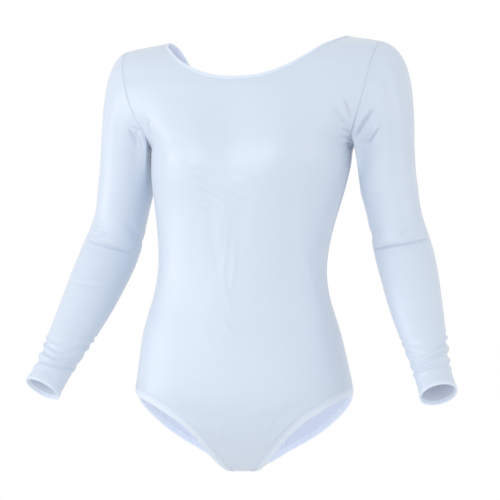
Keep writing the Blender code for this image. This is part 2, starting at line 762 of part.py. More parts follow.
def gather_height(points, turn):
    """Waves of the cloth pushed up above the cuff."""
    slant = GATHER_SLANT * np.cos(np.radians(turn + GATHER_TURN))
    lift = points[..., 2] - GATHER_END - slant
    waves = lift / GATHER_PITCH
    inside = fade_in(waves, GATHER_RISE_WAVES) * fade_in(CUFF_GATHERS - waves, GATHER_FADE_WAVES)
    return GATHER_DEPTH * inside * np.sin(2 * np.pi * (waves - GATHER_PHASE))


def sleeve_relief(points, turn, reach, creases):
    """How far a sleeve's cloth stands off its plain form."""
    flat = np.stack([np.radians(turn) * ARM_RADIUS, points[..., 2]], axis=-1)
    rise = gather_height(points, turn)
    for crease in creases:
        start = (math.radians(crease.turn) * ARM_RADIUS, crease.height)
        end = (math.radians(crease.to_turn) * ARM_RADIUS, crease.to_height)
        rise = rise + fold_height(flat, start, end, crease.width, crease.depth)
    return rise * fade_in(reach, CAP_HOLD)


def sleeve_reaches(arm, last):
    """Where the rings of a sleeve lie, closer together at the elbow and over the gathers."""
    cap = np.linspace(0.0, 1.0, CAP_RINGS + 1)[:-1]
    gather_top = GATHER_END + CUFF_GATHERS * GATHER_PITCH
    upper = np.linspace(ARM[0].z, ELBOW_TOP, UPPER_ARM_RINGS, endpoint=False)
    elbow = np.linspace(ELBOW_TOP, ELBOW_END, ELBOW_RINGS, endpoint=False)
    forearm = np.linspace(ELBOW_END, gather_top, FOREARM_RINGS, endpoint=False)
    gathers = np.linspace(gather_top, GATHER_END - GATHER_TAIL, GATHER_RINGS)
    heights = np.concatenate([upper, elbow, forearm, gathers])
    places = np.linspace(0.0, arm.length, ARM_POINTS)
    place = np.interp(-heights, -arm.centre(places)[:, 2], places)
    place = np.concatenate([place[place < last - LAST_RING_GAP], [last]])
    return np.concatenate([cap, 1.0 + place / arm.length])


def parted(arm, reaches):
    """Rings of the sleeve above and below the place where its solid is parted."""
    places = np.linspace(0.0, arm.length, ARM_POINTS)
    middle = 1.0 + np.interp(-PARTING, -arm.centre(places)[:, 2], places) / arm.length
    half = SEAM_GAP / 2 / arm.length
    upper = reaches[reaches < middle - PARTING_CLEAR]
    lower = reaches[reaches > middle + PARTING_CLEAR]
    return np.append(upper, middle - half), np.append([middle + half], lower)


def sleeve_sheet(arm, reaches, creases):
    """Outer and inner points of the left sleeve."""
    turns = np.linspace(0.0, 360.0, 2 * ARMHOLE_ROWS + 1)
    reach, turn = np.meshgrid(reaches, turns, indexing="ij")
    points, out = arm.point(reach, turn), arm.out(reach, turn)
    points[:, -1], out[:, -1] = points[:, 0], out[:, 0]
    rise = sleeve_relief(points, turn, reach, creases)
    rise[:, -1] = rise[:, 0]
    rise = rise[..., None]
    return points + out * rise, points + out * (rise - CLOTH)


def cuff_sheet(arm):
    """Outer and inner points of the left cuff's turned hem."""
    turns = np.linspace(0.0, 360.0, 2 * ARMHOLE_ROWS + 1)
    outer, inner = [], []
    for back_from_edge, lift in ((CUFF_HEM, 0.0), (CUFF_HEM / 2, HEM_RISE), (0.0, 0.0)):
        reach = np.full_like(turns, 2.0 - back_from_edge / arm.length)
        points, out = arm.point(reach, turns), arm.out(reach, turns)
        outer.append(points + out * (HEM_RISE + lift))
        inner.append(points + out * (HEM_RISE - HEM_CLOTH))
    outer, inner = np.stack(outer), np.stack(inner)
    outer[:, -1], inner[:, -1] = outer[:, 0], inner[:, 0]
    return outer, inner


def build_sleeves():
    """Both sleeves and their cuff hems."""
    arm = Arm(LEFT_CAP_REACH, ARMHOLES[1])
    right_arm = Arm(RIGHT_CAP_REACH, ARMHOLES[-1])
    last = arm.length - CUFF_HEM - SEAM_GAP
    for reaches, part in zip(parted(arm, sleeve_reaches(arm, last)), ("", "_forearm")):
        left = sleeve_sheet(arm, reaches, LEFT_SLEEVE_CREASES)
        right = sleeve_sheet(right_arm, reaches, RIGHT_SLEEVE_CREASES)
        cloth_piece("sleeve_left" + part, [tuple(tilt(points) for points in left)])
        cloth_piece("sleeve_right" + part, [tuple(tilt(mirrored(points)) for points in right)])
    cuff = cuff_sheet(arm)
    cloth_piece("cuff_hem_left", [cuff])
    cloth_piece("cuff_hem_right", [tuple(mirrored(points) for points in cuff)])


def main():
    """Builds every piece of the leotard."""
    clear_scene()
    build_panel("front", -1, FRONT_CREASES)
    build_panel("back", 1, BACK_CREASES)
    build_sleeves()
    build_neck_hem()
    build_leg_hems()


main()
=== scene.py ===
"""Looks of the long-sleeved gymnastics leotard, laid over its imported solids.

Metres, +Z up, front towards -Y, +X on the garment's own left, as in the solids.
"""

import math
from collections import namedtuple

import bmesh
import bpy
import numpy as np
from mathutils import Matrix, Vector


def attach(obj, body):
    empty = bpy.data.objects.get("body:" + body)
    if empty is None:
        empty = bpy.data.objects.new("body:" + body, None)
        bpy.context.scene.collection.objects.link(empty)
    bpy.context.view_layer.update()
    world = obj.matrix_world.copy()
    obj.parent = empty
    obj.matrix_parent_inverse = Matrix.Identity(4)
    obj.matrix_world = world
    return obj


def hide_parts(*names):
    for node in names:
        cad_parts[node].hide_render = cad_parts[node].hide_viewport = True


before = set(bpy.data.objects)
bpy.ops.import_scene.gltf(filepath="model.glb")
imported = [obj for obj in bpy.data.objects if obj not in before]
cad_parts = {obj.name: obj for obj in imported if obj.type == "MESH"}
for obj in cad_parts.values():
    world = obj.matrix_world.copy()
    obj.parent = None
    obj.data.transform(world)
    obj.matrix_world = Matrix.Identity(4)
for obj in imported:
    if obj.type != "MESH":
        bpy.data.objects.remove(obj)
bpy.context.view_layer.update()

# Sizes of the cut, the same as in the solids
CLOTH = 0.0013
HEM_CLOTH = 0.0022
HEM_RISE = 0.0004
NECK_HEM = 0.0068
LEG_HEM = 0.013
CUFF_HEM = 0.008
SHOULDER_TOP = 0.0
ARMPIT = -0.147
LEG_TOP = -0.517
CROTCH = -0.636
NECK_POINT = 0.012
ROUNDNESS = 2.2
SEAT_START = -0.490

Section = namedtuple("Section", "height half_width front back centre")
FIGURE = [
    Section(0.024, 0.060, 0.030, 0.020, 0.035),
    Section(0.018, 0.101, 0.033, 0.024, 0.031),
    Section(0.012, 0.137, 0.037, 0.033, 0.025),
    Section(0.006, 0.169, 0.042, 0.052, 0.014),
    Section(0.000, 0.196, 0.051, 0.066, 0.004),
    Section(-0.010, 0.214, 0.066, 0.078, -0.001),
    Section(-0.022, 0.225, 0.079, 0.086, -0.002),
    Section(-0.038, 0.232, 0.089, 0.0915, -0.002),
    Section(-0.058, 0.235, 0.096, 0.0955, -0.003),
    Section(-0.080, 0.230, 0.099, 0.098, -0.004),
    Section(-0.100, 0.216, 0.101, 0.099, -0.005),
    Section(-0.118, 0.194, 0.102, 0.0995, -0.006),
    Section(-0.132, 0.173, 0.103, 0.0995, -0.007),
    Section(-0.147, 0.156, 0.104, 0.099, -0.008),
    Section(-0.170, 0.150, 0.105, 0.096, -0.010),
    Section(-0.206, 0.146, 0.104, 0.090, -0.013),
    Section(-0.260, 0.135, 0.096, 0.079, -0.019),
    Section(-0.320, 0.1265, 0.088, 0.074, -0.024),
    Section(-0.350, 0.1275, 0.088, 0.077, -0.024),
    Section(-0.386, 0.135, 0.091, 0.085, -0.022),
    Section(-0.422, 0.146, 0.096, 0.095, -0.020),
    Section(-0.458, 0.1535, 0.100, 0.104, -0.019),
    Section(-0.500, 0.1610, 0.103, 0.113, -0.018),
    Section(-0.540, 0.168, 0.105, 0.119, -0.017),
    Section(-0.575, 0.170, 0.101, 0.117, -0.015),
    Section(-0.605, 0.164, 0.093, 0.107, -0.012),
    Section(-0.640, 0.150, 0.082, 0.092, -0.010),
]
Fullness = namedtuple("Fullness", "across height width tall rise")
BUST = Fullness(0.074, -0.158, 0.056, 0.062, 0.020)
BUST_MIDDLE = 0.018

EdgePoint = namedtuple("EdgePoint", "across height")
NECK_FRONT = [
    EdgePoint(0.000, -0.049),
    EdgePoint(0.036, -0.046),
    EdgePoint(0.069, -0.035),
    EdgePoint(0.096, -0.020),
    EdgePoint(0.115, -0.005),
    EdgePoint(0.128, 0.004),
]
NECK_BACK = [
    EdgePoint(0.131, 0.003),
    EdgePoint(0.126, -0.008),
    EdgePoint(0.120, -0.022),
    EdgePoint(0.108, -0.040),
    EdgePoint(0.088, -0.066),
    EdgePoint(0.056, -0.093),
    EdgePoint(0.000, -0.107),
]
ARMHOLE = [
    EdgePoint(0.194, -0.012),
    EdgePoint(0.191, -0.034),
    EdgePoint(0.187, -0.056),
    EdgePoint(0.183, -0.077),
    EdgePoint(0.178, -0.095),
    EdgePoint(0.171, -0.112),
    EdgePoint(0.164, -0.127),
    EdgePoint(0.158, -0.139),
]
# The right sleeve's seam is drawn further onto the front
RIGHT_ARMHOLE_FRONT = [
    EdgePoint(0.194, -0.012),
    EdgePoint(0.189, -0.034),
    EdgePoint(0.182, -0.056),
    EdgePoint(0.176, -0.077),
    EdgePoint(0.169, -0.095),
    EdgePoint(0.162, -0.112),
    EdgePoint(0.154, -0.127),
    EdgePoint(0.153, -0.139),
]
LEG_FRONT = [
    EdgePoint(0.139, -0.530),
    EdgePoint(0.100, -0.553),
    EdgePoint(0.074, -0.575),
    EdgePoint(0.061, -0.590),
    EdgePoint(0.050, -0.605),
    EdgePoint(0.040, -0.618),
    EdgePoint(0.030, -0.629),
]
LEG_BACK = [
    EdgePoint(0.031, -0.630),
    EdgePoint(0.042, -0.624),
    EdgePoint(0.064, -0.611),
    EdgePoint(0.091, -0.596),
    EdgePoint(0.118, -0.578),
    EdgePoint(0.140, -0.558),
    EdgePoint(0.157, -0.536),
]
CROTCH_HALF_WIDTH = 0.022
CROTCH_RISE = 0.002
NECK_HOLE = (0.0, 0.0, 0.05)
ARMHOLE_HOLE = (0.25, 0.0, -0.07)
LEG_HOLE = (0.12, -0.02, -0.68)

# The left arm, from below the shoulder to the cuff's open end
ArmRing = namedtuple("ArmRing", "x y z half_width half_depth")
ARM = [
    ArmRing(0.205, 0.008, -0.215, 0.0425, 0.0450),
    ArmRing(0.214, 0.010, -0.260, 0.0400, 0.0430),
    ArmRing(0.226, 0.005, -0.303, 0.0430, 0.0425),
    ArmRing(0.239, -0.010, -0.342, 0.0425, 0.0415),
    ArmRing(0.252, -0.030, -0.382, 0.0395, 0.0385),
    ArmRing(0.273, -0.061, -0.440, 0.0320, 0.0325),
    ArmRing(0.290, -0.086, -0.486, 0.0270, 0.0280),
    ArmRing(0.301, -0.102, -0.513, 0.0275, 0.0285),
]
LEFT_CAP_REACH = 0.196
RIGHT_CAP_REACH = 0.145
CAP_LANDING = 0.190
UNDER_REACH = 0.050
UNDER_LANDING = 0.060
CAP_TOP_WAY = (0.86, 0.0, -0.50)
CAP_FRONT_WAY = (0.50, 0.30, -0.80)
CAP_UNDER_WAY = (0.36, 0.02, -0.93)
CAP_BACK_WAY = (0.50, -0.30, -0.80)
CAP_TURNS = (0.0, 90.0, 180.0, 270.0, 360.0)
UNDER_SPREAD = 38.0
UNDER_LANDING_SPREAD = 60.0
ARM_RADIUS = 0.042

# How the garment stands
Stance = namedtuple("Stance", "height sway turn_degrees")
STANCE = [
    Stance(-0.147, 0.000, 0.0),
    Stance(-0.206, -0.004, 1.5),
    Stance(-0.260, -0.009, 3.6),
    Stance(-0.320, -0.014, 6.0),
    Stance(-0.420, -0.018, 9.6),
    Stance(-0.500, -0.015, 11.5),
    Stance(-0.640, -0.017, 11.5),
]
STANCE_START = 0.060
SHOULDER_TILT = 0.020
TILT_TOP = -0.060
TILT_REACH = 0.170
SIDE_HOLD = 0.045
NECK_HOLD = 0.035
CREASE_HOLD = 0.004
SIDE_BLEND = 0.060

# Folds of the front and back, each a trough from one point to another as seen from the front
Crease = namedtuple("Crease", "across height to_across to_height width depth")
FRONT_CREASES = [
    Crease(0.158, -0.090, 0.146, -0.130, 0.014, 0.0010),
    Crease(-0.150, -0.098, -0.140, -0.138, 0.012, 0.0008),
    Crease(-0.040, -0.180, -0.026, -0.340, 0.016, 0.0010),
    Crease(0.016, -0.200, 0.006, -0.310, 0.016, 0.0008),
    Crease(0.088, -0.535, 0.030, -0.560, 0.015, 0.0015),
    Crease(-0.088, -0.535, -0.030, -0.560, 0.015, 0.0015),
]
BACK_CREASES = [
    Crease(0.152, -0.086, 0.136, -0.132, 0.012, 0.0026),
    Crease(-0.152, -0.090, -0.134, -0.130, 0.012, 0.0026),
    Crease(-0.110, -0.296, -0.020, -0.318, 0.017, 0.0024),
    Crease(0.108, -0.330, 0.016, -0.345, 0.017, 0.0024),
    Crease(-0.060, -0.590, -0.020, -0.560, 0.015, 0.0016),
    Crease(0.060, -0.590, 0.020, -0.560, 0.015, 0.0016),
]
FRONT_FINE_CREASES = [
    Crease(0.060, -0.548, 0.034, -0.586, 0.008, 0.0008),
    Crease(-0.060, -0.548, -0.034, -0.586, 0.008, 0.0008),
]
BACK_FINE_CREASES = [
    Crease(0.150, -0.122, 0.122, -0.146, 0.007, 0.0012),
    Crease(-0.150, -0.126, -0.122, -0.142, 0.007, 0.0012),
    Crease(-0.086, -0.312, 0.010, -0.330, 0.009, 0.0010),
    Crease(0.070, -0.300, -0.020, -0.306, 0.009, 0.0009),
    Crease(0.010, -0.170, 0.012, -0.280, 0.009, 0.0006),
    Crease(-0.024, -0.160, -0.020, -0.300, 0.009, 0.0006),
    Crease(0.090, -0.570, 0.040, -0.560, 0.009, 0.0008),
    Crease(-0.084, -0.566, -0.036, -0.556, 0.009, 0.0008),
]

# Soft ripples of the front from the bust to the waist, each a low ridge along its points
Ripple = namedtuple("Ripple", "height width line")
FRONT_RIPPLES = [
    Ripple(0.0012, 0.011, [(-0.111, -0.105), (-0.102, -0.138), (-0.082, -0.187)]),
    Ripple(0.0014, 0.012, [(0.086, -0.119), (0.065, -0.160), (0.041, -0.214)]),
    Ripple(0.00080, 0.0038, [(-0.064, -0.185), (-0.058, -0.180), (-0.047, -0.185)]),
    Ripple(0.00103, 0.0038, [(-0.062, -0.199), (-0.052, -0.193), (-0.039, -0.201), (-0.020, -0.218)]),
    Ripple(
        0.00115,
        0.0038,
        [(-0.063, -0.217), (-0.051, -0.210), (-0.039, -0.214)]
        + [(-0.015, -0.227), (0.003, -0.244), (0.013, -0.250)],
    ),
    Ripple(
        0.00115,
        0.0038,
        [(-0.057, -0.232), (-0.046, -0.226), (-0.031, -0.233)]
        + [(-0.016, -0.243), (-0.008, -0.264), (-0.002, -0.278)],
    ),
    Ripple(
        0.00103,
        0.0038,
        [(-0.054, -0.244), (-0.043, -0.238), (-0.030, -0.243)]
        + [(-0.021, -0.258), (-0.018, -0.283), (-0.021, -0.311)],
    ),
    Ripple(0.00103, 0.0038, [(-0.048, -0.255), (-0.042, -0.283), (-0.034, -0.308), (-0.031, -0.334)]),
    Ripple(
        0.00103,
        0.0038,
        [(-0.008, -0.268), (-0.010, -0.293), (-0.014, -0.322), (-0.016, -0.344)]
        + [(-0.012, -0.368), (-0.005, -0.390), (0.009, -0.390)],
    ),
    Ripple(0.00092, 0.0038, [(0.002, -0.283), (0.002, -0.316), (-0.002, -0.346), (-0.006, -0.371)]),
    Ripple(0.00080, 0.0038, [(0.025, -0.192), (0.038, -0.196), (0.041, -0.205)]),
    Ripple(0.00092, 0.0038, [(-0.002, -0.200), (0.019, -0.209), (0.030, -0.221)]),
    Ripple(0.00092, 0.0038, [(-0.014, -0.206), (0.003, -0.218), (0.022, -0.237)]),
    Ripple(0.00080, 0.0038, [(-0.017, -0.404), (-0.010, -0.422), (0.004, -0.426)]),
    Ripple(
        0.00115,
        0.0038,
        [(0.117, -0.159), (0.099, -0.203), (0.097, -0.290)]
        + [(0.111, -0.349), (0.129, -0.422)],
    ),
]

# Sharp tucks near the armholes, each with a roll of cloth on its left as it runs
FRONT_TUCKS = [
    Crease(0.1655, -0.1180, 0.1575, -0.0860, 0.0019, 0.0027),
    Crease(0.1600, -0.1290, 0.1400, -0.0960, 0.0019, 0.0021),
    Crease(0.1600, -0.1361, 0.1490, -0.1290, 0.0019, 0.0023),
    Crease(0.1571, -0.1426, 0.1450, -0.1398, 0.0019, 0.0023),
    Crease(0.1450, -0.1512, 0.1556, -0.1469, 0.0019, 0.0017),
    Crease(0.1460, -0.1622, 0.1535, -0.1510, 0.0019, 0.0014),
    Crease(0.1600, -0.1270, 0.1500, -0.1600, 0.0020, 0.0014),
    Crease(-0.1355, -0.1110, -0.1425, -0.1187, 0.0018, 0.0024),
    Crease(-0.1425, -0.1160, -0.1395, -0.1342, 0.0018, 0.0032),
    Crease(-0.1445, -0.1042, -0.1430, -0.1180, 0.0020, 0.0009),
]
BACK_TUCKS = [
    Crease(0.1600, -0.1120, 0.1420, -0.1300, 0.0017, 0.0012),
    Crease(0.1540, -0.1330, 0.1400, -0.1420, 0.0017, 0.0011),
    Crease(-0.1600, -0.1100, -0.1440, -0.1290, 0.0017, 0.0012),
    Crease(-0.1550, -0.1360, -0.1420, -0.1450, 0.0017, 0.0010),
]

Folds = namedtuple("Folds", "creases tucks ripples")
FRONT_FOLDS = Folds(FRONT_CREASES + FRONT_FINE_CREASES, FRONT_TUCKS, FRONT_RIPPLES)
BACK_FOLDS = Folds(BACK_CREASES + BACK_FINE_CREASES, BACK_TUCKS, [])

# Folds of the sleeves. Turn is the angle round the arm: 0 outside, 90 front, 180 inside
SleeveCrease = namedtuple("SleeveCrease", "height turn to_height to_turn width depth")
LEFT_SLEEVE_CREASES = [
    SleeveCrease(-0.105, 90, -0.140, 130, 0.011, 0.0014),
    SleeveCrease(-0.132, 100, -0.158, 140, 0.011, 0.0012),
    SleeveCrease(-0.286, 20, -0.308, 150, 0.012, 0.0012),
    SleeveCrease(-0.272, 120, -0.288, 190, 0.012, 0.0014),
    SleeveCrease(-0.110, 285, -0.150, 240, 0.011, 0.0026),
]
RIGHT_SLEEVE_CREASES = [
    SleeveCrease(-0.124, 98, -0.150, 140, 0.011, 0.0014),
    SleeveCrease(-0.288, 25, -0.314, 155, 0.012, 0.0012),
    SleeveCrease(-0.353, 60, -0.361, 145, 0.0045, 0.0009),
    SleeveCrease(-0.104, 280, -0.146, 236, 0.011, 0.0026),
]
LEFT_SLEEVE_FINE_CREASES = [
    SleeveCrease(-0.278, 176, -0.300, 230, 0.008, 0.0012),
    SleeveCrease(-0.380, 40, -0.392, 120, 0.007, 0.0006),
    SleeveCrease(-0.262, 20, -0.276, 44, 0.006, 0.0008),
]
RIGHT_SLEEVE_FINE_CREASES = [
    SleeveCrease(-0.262, 118, -0.291, 174, 0.009, 0.0012),
    SleeveCrease(-0.286, 176, -0.304, 240, 0.008, 0.0012),
    SleeveCrease(-0.372, 70, -0.382, 130, 0.006, 0.0005),
]
LEFT_SLEEVE_TUCKS = [
    SleeveCrease(-0.2880, 14, -0.3072, 170, 0.0013, 0.0027),
    SleeveCrease(-0.2846, 82, -0.2652, 40, 0.0015, 0.0013),
    SleeveCrease(-0.1030, 92, -0.1430, 140, 0.0019, 0.0038),
    SleeveCrease(-0.1290, 90, -0.1533, 120, 0.0015, 0.0028),
    SleeveCrease(-0.1120, 270, -0.1460, 234, 0.0019, 0.0013),
    SleeveCrease(-0.2790, 190, -0.2900, 250, 0.0017, 0.0012),
]
RIGHT_SLEEVE_TUCKS = [
    SleeveCrease(-0.2860, 33, -0.3130, 166, 0.0013, 0.0024),
    SleeveCrease(-0.2684, 40, -0.2676, 66, 0.0015, 0.0012),
    SleeveCrease(-0.2792, 42, -0.2851, 94, 0.0015, 0.0012),
    SleeveCrease(-0.1180, 112, -0.1441, 158, 0.0022, 0.0034),
    SleeveCrease(-0.1224, 108, -0.1489, 124, 0.0019, 0.0030),
    SleeveCrease(-0.1267, 118, -0.1486, 131, 0.0019, 0.0028),
    SleeveCrease(-0.1100, 268, -0.1430, 236, 0.0019, 0.0013),
    SleeveCrease(-0.2800, 192, -0.2920, 246, 0.0017, 0.0012),
]
TUCK_ROLL = 0.55
TUCK_ROLL_AWAY = 2.3
TUCK_ROLL_WIDTH = 1.5

LEFT_SLEEVE_FOLDS = Folds(LEFT_SLEEVE_CREASES + LEFT_SLEEVE_FINE_CREASES, LEFT_SLEEVE_TUCKS, [])
RIGHT_SLEEVE_FOLDS = Folds(RIGHT_SLEEVE_CREASES + RIGHT_SLEEVE_FINE_CREASES, RIGHT_SLEEVE_TUCKS, [])

# Gathers pushed up above each cuff
CUFF_GATHERS = 5
GATHER_PITCH = 0.0125
GATHER_DEPTH = 0.0021
GATHER_END = -0.485
GATHER_SLANT = 0.006
GATHER_TURN = 30.0
GATHER_PHASE = 0.25
GATHER_RISE_WAVES = 0.8
GATHER_FADE_WAVES = 1.6
GATHER_UNEVEN = 0.30
GATHER_UNEVEN_TURN = 50.0
WANDER_TURN = 40.0
WANDER_RATE = 90.0

# Sewn seams: a fine valley with the seam allowance's ridge on each side
SEAM_VALLEY = 0.0011
SEAM_VALLEY_WIDTH = 0.0012
SEAM_RIDGE = 0.0003
SEAM_RIDGE_AWAY = 0.0040
SEAM_RIDGE_WIDTH = 0.0022
CLOSE_GAP = 0.00004

# Hems and stitches. The rows are so far in from the open edge
NECK_STITCH_ROWS = (0.0054,)
LEG_STITCH_ROWS = (0.0088, 0.0118)
CUFF_STITCH_ROWS = (0.0052,)
STITCH_LENGTH = 0.0022
STITCH_STEP = 0.0029
THREAD = 0.00042
STITCH_SINK = 0.00035
STITCH_SINK_WIDTH = 0.0008
STITCH_AHEAD = 0.8
THREAD_FLATNESS = 0.8
STITCH_TURNS = 6
STITCH_RINGS = 4
HEM_TURN_STEP = 0.0012
HEM_RISE_SHARE = 0.45
HEM_EDGE_STEP = 1e-5

# How finely the cloth is divided
COLUMNS = 76
END_CROWDING = 0.85
LEG_ROWS = 9
SIDE_ROWS = 18
ARMHOLE_ROWS = 10
FRONT_CHEST_ROWS = 3
BACK_CHEST_ROWS = 2
LEG_FINE = 7
SIDE_FINE = 7
ARMHOLE_FINE = 11
CAP_RINGS = 96
ARM_RINGS = 216
SLEEVE_TURNS = 144
NEAR_ROWS = np.array([0.03, 0.07, 0.22, 0.35])
HEM_FLAT_STEPS = 18
HEM_TURN_STEPS = 6
HEM_COUNT = 120
LINE_STEPS = 24
LINE_POINTS = 900
SETTLE_ROUNDS = 9
SMALL_STEP = 1e-5
SHORT_WAY = 0.001
REACH_STEP = 0.001
TURN_STEP = 0.5
ROW_TOLERANCE = 1e-9
JOIN_DISTANCE = 2e-6
SHARP_ANGLE = 60

# Where a sleeve's rings and columns lie closer: the middle, how far it spreads and how much closer
Crowding = namedtuple("Crowding", "middle spread extra")
RING_CROWDING = [
    Crowding(-0.296, 0.020, 2.8),
    Crowding(-0.270, 0.014, 0.8),
    Crowding(-0.357, 0.008, 0.8),
    Crowding(-0.445, 0.036, 0.7),
]
TURN_CROWDING = [
    Crowding(122.0, 24.0, 1.6),
    Crowding(245.0, 20.0, 0.5),
]


def unit(vectors):
    """Vectors of the same direction and length one."""
    return vectors / np.linalg.norm(vectors, axis=-1, keepdims=True)


def spline_slopes(places, values):
    """Slopes at each place of the smoothest cubic line through the values."""
    count = len(places)
    step = np.diff(places)
    rise = np.diff(values, axis=0) / step.reshape((-1,) + (1,) * (values.ndim - 1))
    matrix = np.zeros((count, count))
    right = np.zeros_like(values)
    matrix[0, :2] = 2.0, 1.0
    matrix[-1, -2:] = 1.0, 2.0
    right[0], right[-1] = 3.0 * rise[0], 3.0 * rise[-1]
    for i in range(1, count - 1):
        matrix[i, i - 1 : i + 2] = step[i], 2.0 * (step[i - 1] + step[i]), step[i - 1]
        right[i] = 3.0 * (step[i] * rise[i - 1] + step[i - 1] * rise[i])
    return np.linalg.solve(matrix, right)


class Spline:
    """Smooth line through values at rising places, read at any place between them."""

    def __init__(self, places, values):
        self.places = np.array(places, float)
        self.values = np.array(values, float)
        self.slopes = spline_slopes(self.places, self.values)

    def __call__(self, wanted):
        wanted = np.clip(wanted, self.places[0], self.places[-1])
        index = np.clip(np.searchsorted(self.places, wanted) - 1, 0, len(self.places) - 2)
        step = self.places[index + 1] - self.places[index]
        t = (wanted - self.places[index]) / step
        if self.values.ndim > 1:
            t, step = t[..., None], step[..., None]
        start, end = self.values[index], self.values[index + 1]
        lean, land = self.slopes[index] * step, self.slopes[index + 1] * step
        return hermite(start, lean, end, land, t)


def hermite(start, lean, end, land, t):
    """Cubic from start to end, leaving along lean and landing along land."""
    s = 1.0 - t
    leaving = s * s * (1 + 2 * t) * start + t * s * s * lean
    return leaving + t * t * (3 - 2 * t) * end - t * t * s * land


def table_line(table, column):
    """A table's column as a smooth line over its heights."""
    rows = sorted(table, key=lambda row: row.height)
    return Spline([row.height for row in rows], [getattr(row, column) for row in rows])


WIDTH_AT = table_line(FIGURE, "half_width")
FRONT_AT = table_line(FIGURE, "front")
BACK_AT = table_line(FIGURE, "back")
CENTRE_AT = table_line(FIGURE, "centre")
SWAY_AT = table_line(STANCE, "sway")
TURN_AT = table_line(STANCE, "turn_degrees")


def fade_in(distance, reach):
    """Nought at a seam, rising softly to one past the reach."""
    t = np.clip(distance / reach, 0.0, 1.0)
    return t * t * (3.0 - 2.0 * t)


def seat(height):
    """Nought above the seat, rising to one at the crotch, where the figure closes."""
    drop = np.clip((SEAT_START - height) / (SEAT_START - CROTCH), 0.0, None)
    return drop**ROUNDNESS


def figure(points):
    """Below nought inside the figure, nought on it and above nought outside."""
    x, y, z = points[..., 0], points[..., 1], points[..., 2]
    deep = y - CENTRE_AT(z)
    depth = np.where(deep < 0, FRONT_AT(z), BACK_AT(z))
    return np.abs(x / WIDTH_AT(z)) ** ROUNDNESS + np.abs(deep / depth) ** ROUNDNESS + seat(z) - 1.0


def slope_of(points):
    """How fast figure() grows along each axis."""
    steps = np.eye(3) * SMALL_STEP
    parts = [(figure(points + step) - figure(points - step)) / (2 * SMALL_STEP) for step in steps]
    return np.stack(parts, axis=-1)


def settle(points):
    """Points moved the shortest way onto the figure."""
    for _ in range(SETTLE_ROUNDS):
        slope = slope_of(points)
        points = points - (figure(points) / (slope**2).sum(-1))[..., None] * slope
    return points


def outward(points):
    """Unit vectors straight out of the figure."""
    return unit(slope_of(points))


def on_face(point, face):
    """Place on the figure of an edge point: face -1 is the front and 1 the back."""
    room = 1.0 - (point.across / WIDTH_AT(point.height)) ** ROUNDNESS - seat(point.height)
    depth = FRONT_AT(point.height) if face < 0 else BACK_AT(point.height)
    deep = CENTRE_AT(point.height) + face * depth * room ** (1 / ROUNDNESS)
    return np.array([point.across, deep, point.height])


def on_side(height):
    """Place on the line where front and back meet, at a height."""
    height = np.asarray(height, float)
    across = WIDTH_AT(height) * (1.0 - seat(height)) ** (1 / ROUNDNESS)
    return np.stack([across, CENTRE_AT(height), height], axis=-1)


def loop_through(points):
    """Dense closed line on the figure through the points, LINE_STEPS to each span."""
    points = np.array(points)
    padded = np.concatenate([points[-1:], points, points[:2]])
    t = np.linspace(0.0, 1.0, LINE_STEPS, endpoint=False)[:, None]
    spans = [
        hermite(b, (c - a) / 2, c, (d - b) / 2, t)
        for a, b, c, d in zip(padded, padded[1:], padded[2:], padded[3:])
    ]
    return settle(np.concatenate(spans + [padded[-2:-1]]))


class EdgeRing:
    """A closed edge of the garment on the figure, with the way off its panel at each point."""

    def __init__(self, controls, hole_centre):
        line = loop_through(controls)
        ahead = np.roll(line[:-1], -1, axis=0)
        behind = np.roll(line[:-1], 1, axis=0)
        run = unit(ahead - behind)
        across = unit(np.cross(outward(line), np.concatenate([run, run[:1]])))
        to_hole = np.array(hole_centre) - line
        self.line = line
        self.off = across if (across * to_hole).sum() > 0 else -across

    def span(self, first, last, inset=0.0, lift=0.0):
        """Stretch of the ring between two of its control points, inset onto the panel."""
        rows = slice(first * LINE_STEPS, last * LINE_STEPS + 1)
        moved = settle(self.line[rows] - self.off[rows] * inset)
        return moved + outward(moved) * lift


def mirrored(points):
    """The same points on the other half of the garment."""
    return points * np.array([-1.0, 1.0, 1.0])


def lengths_along(line):
    """Distance from the start of a line to each of its points."""
    return np.concatenate([[0.0], np.cumsum(np.linalg.norm(np.diff(line, axis=0), axis=1))])


def spots(line, fractions):
    """Points at the given fractions of a line's length."""
    distance = lengths_along(line)
    wanted = np.asarray(fractions) * distance[-1]
    return np.stack([np.interp(wanted, distance, line[:, axis]) for axis in range(3)], axis=-1)


def rail_points(rail, rows):
    """Points at row numbers along a rail, a list of (first row, last row, line)."""
    rows = np.asarray(rows, float)
    result = np.zeros(rows.shape + (3,))
    for first, last, line in rail:
        inside = (rows >= first - ROW_TOLERANCE) & (rows <= last + ROW_TOLERANCE)
        result[inside] = spots(line, (rows[inside] - first) / (last - first))
    return result


def neck_ring():
    """Whole neckline: front half, neck point, back half, and the same on the other side."""
    half = [on_face(point, -1) for point in NECK_FRONT] + [on_side(NECK_POINT)]
    half += [on_face(point, 1) for point in NECK_BACK]
    other = [mirrored(point) for point in half[-2:0:-1]]
    return EdgeRing(half + other, NECK_HOLE)


def armhole_ring(front_edge):
    """Armhole on the left half, given its front edge: shoulder, front, armpit and back."""
    front = [on_face(point, -1) for point in front_edge]
    back = [on_face(point, 1) for point in reversed(ARMHOLE)]
    whole = [on_side(SHOULDER_TOP)] + front + [on_side(ARMPIT)] + back
    return EdgeRing(whole, ARMHOLE_HOLE)


def leg_ring():
    """Left leg opening: side, front, crotch and back."""
    crotch = settle(np.array([[CROTCH_HALF_WIDTH, on_side(CROTCH + CROTCH_RISE)[1], CROTCH]]))[0]
    front = [on_face(point, -1) for point in LEG_FRONT]
    back = [on_face(point, 1) for point in LEG_BACK]
    return EdgeRing([on_side(LEG_TOP)] + front + [crotch] + back, LEG_HOLE)


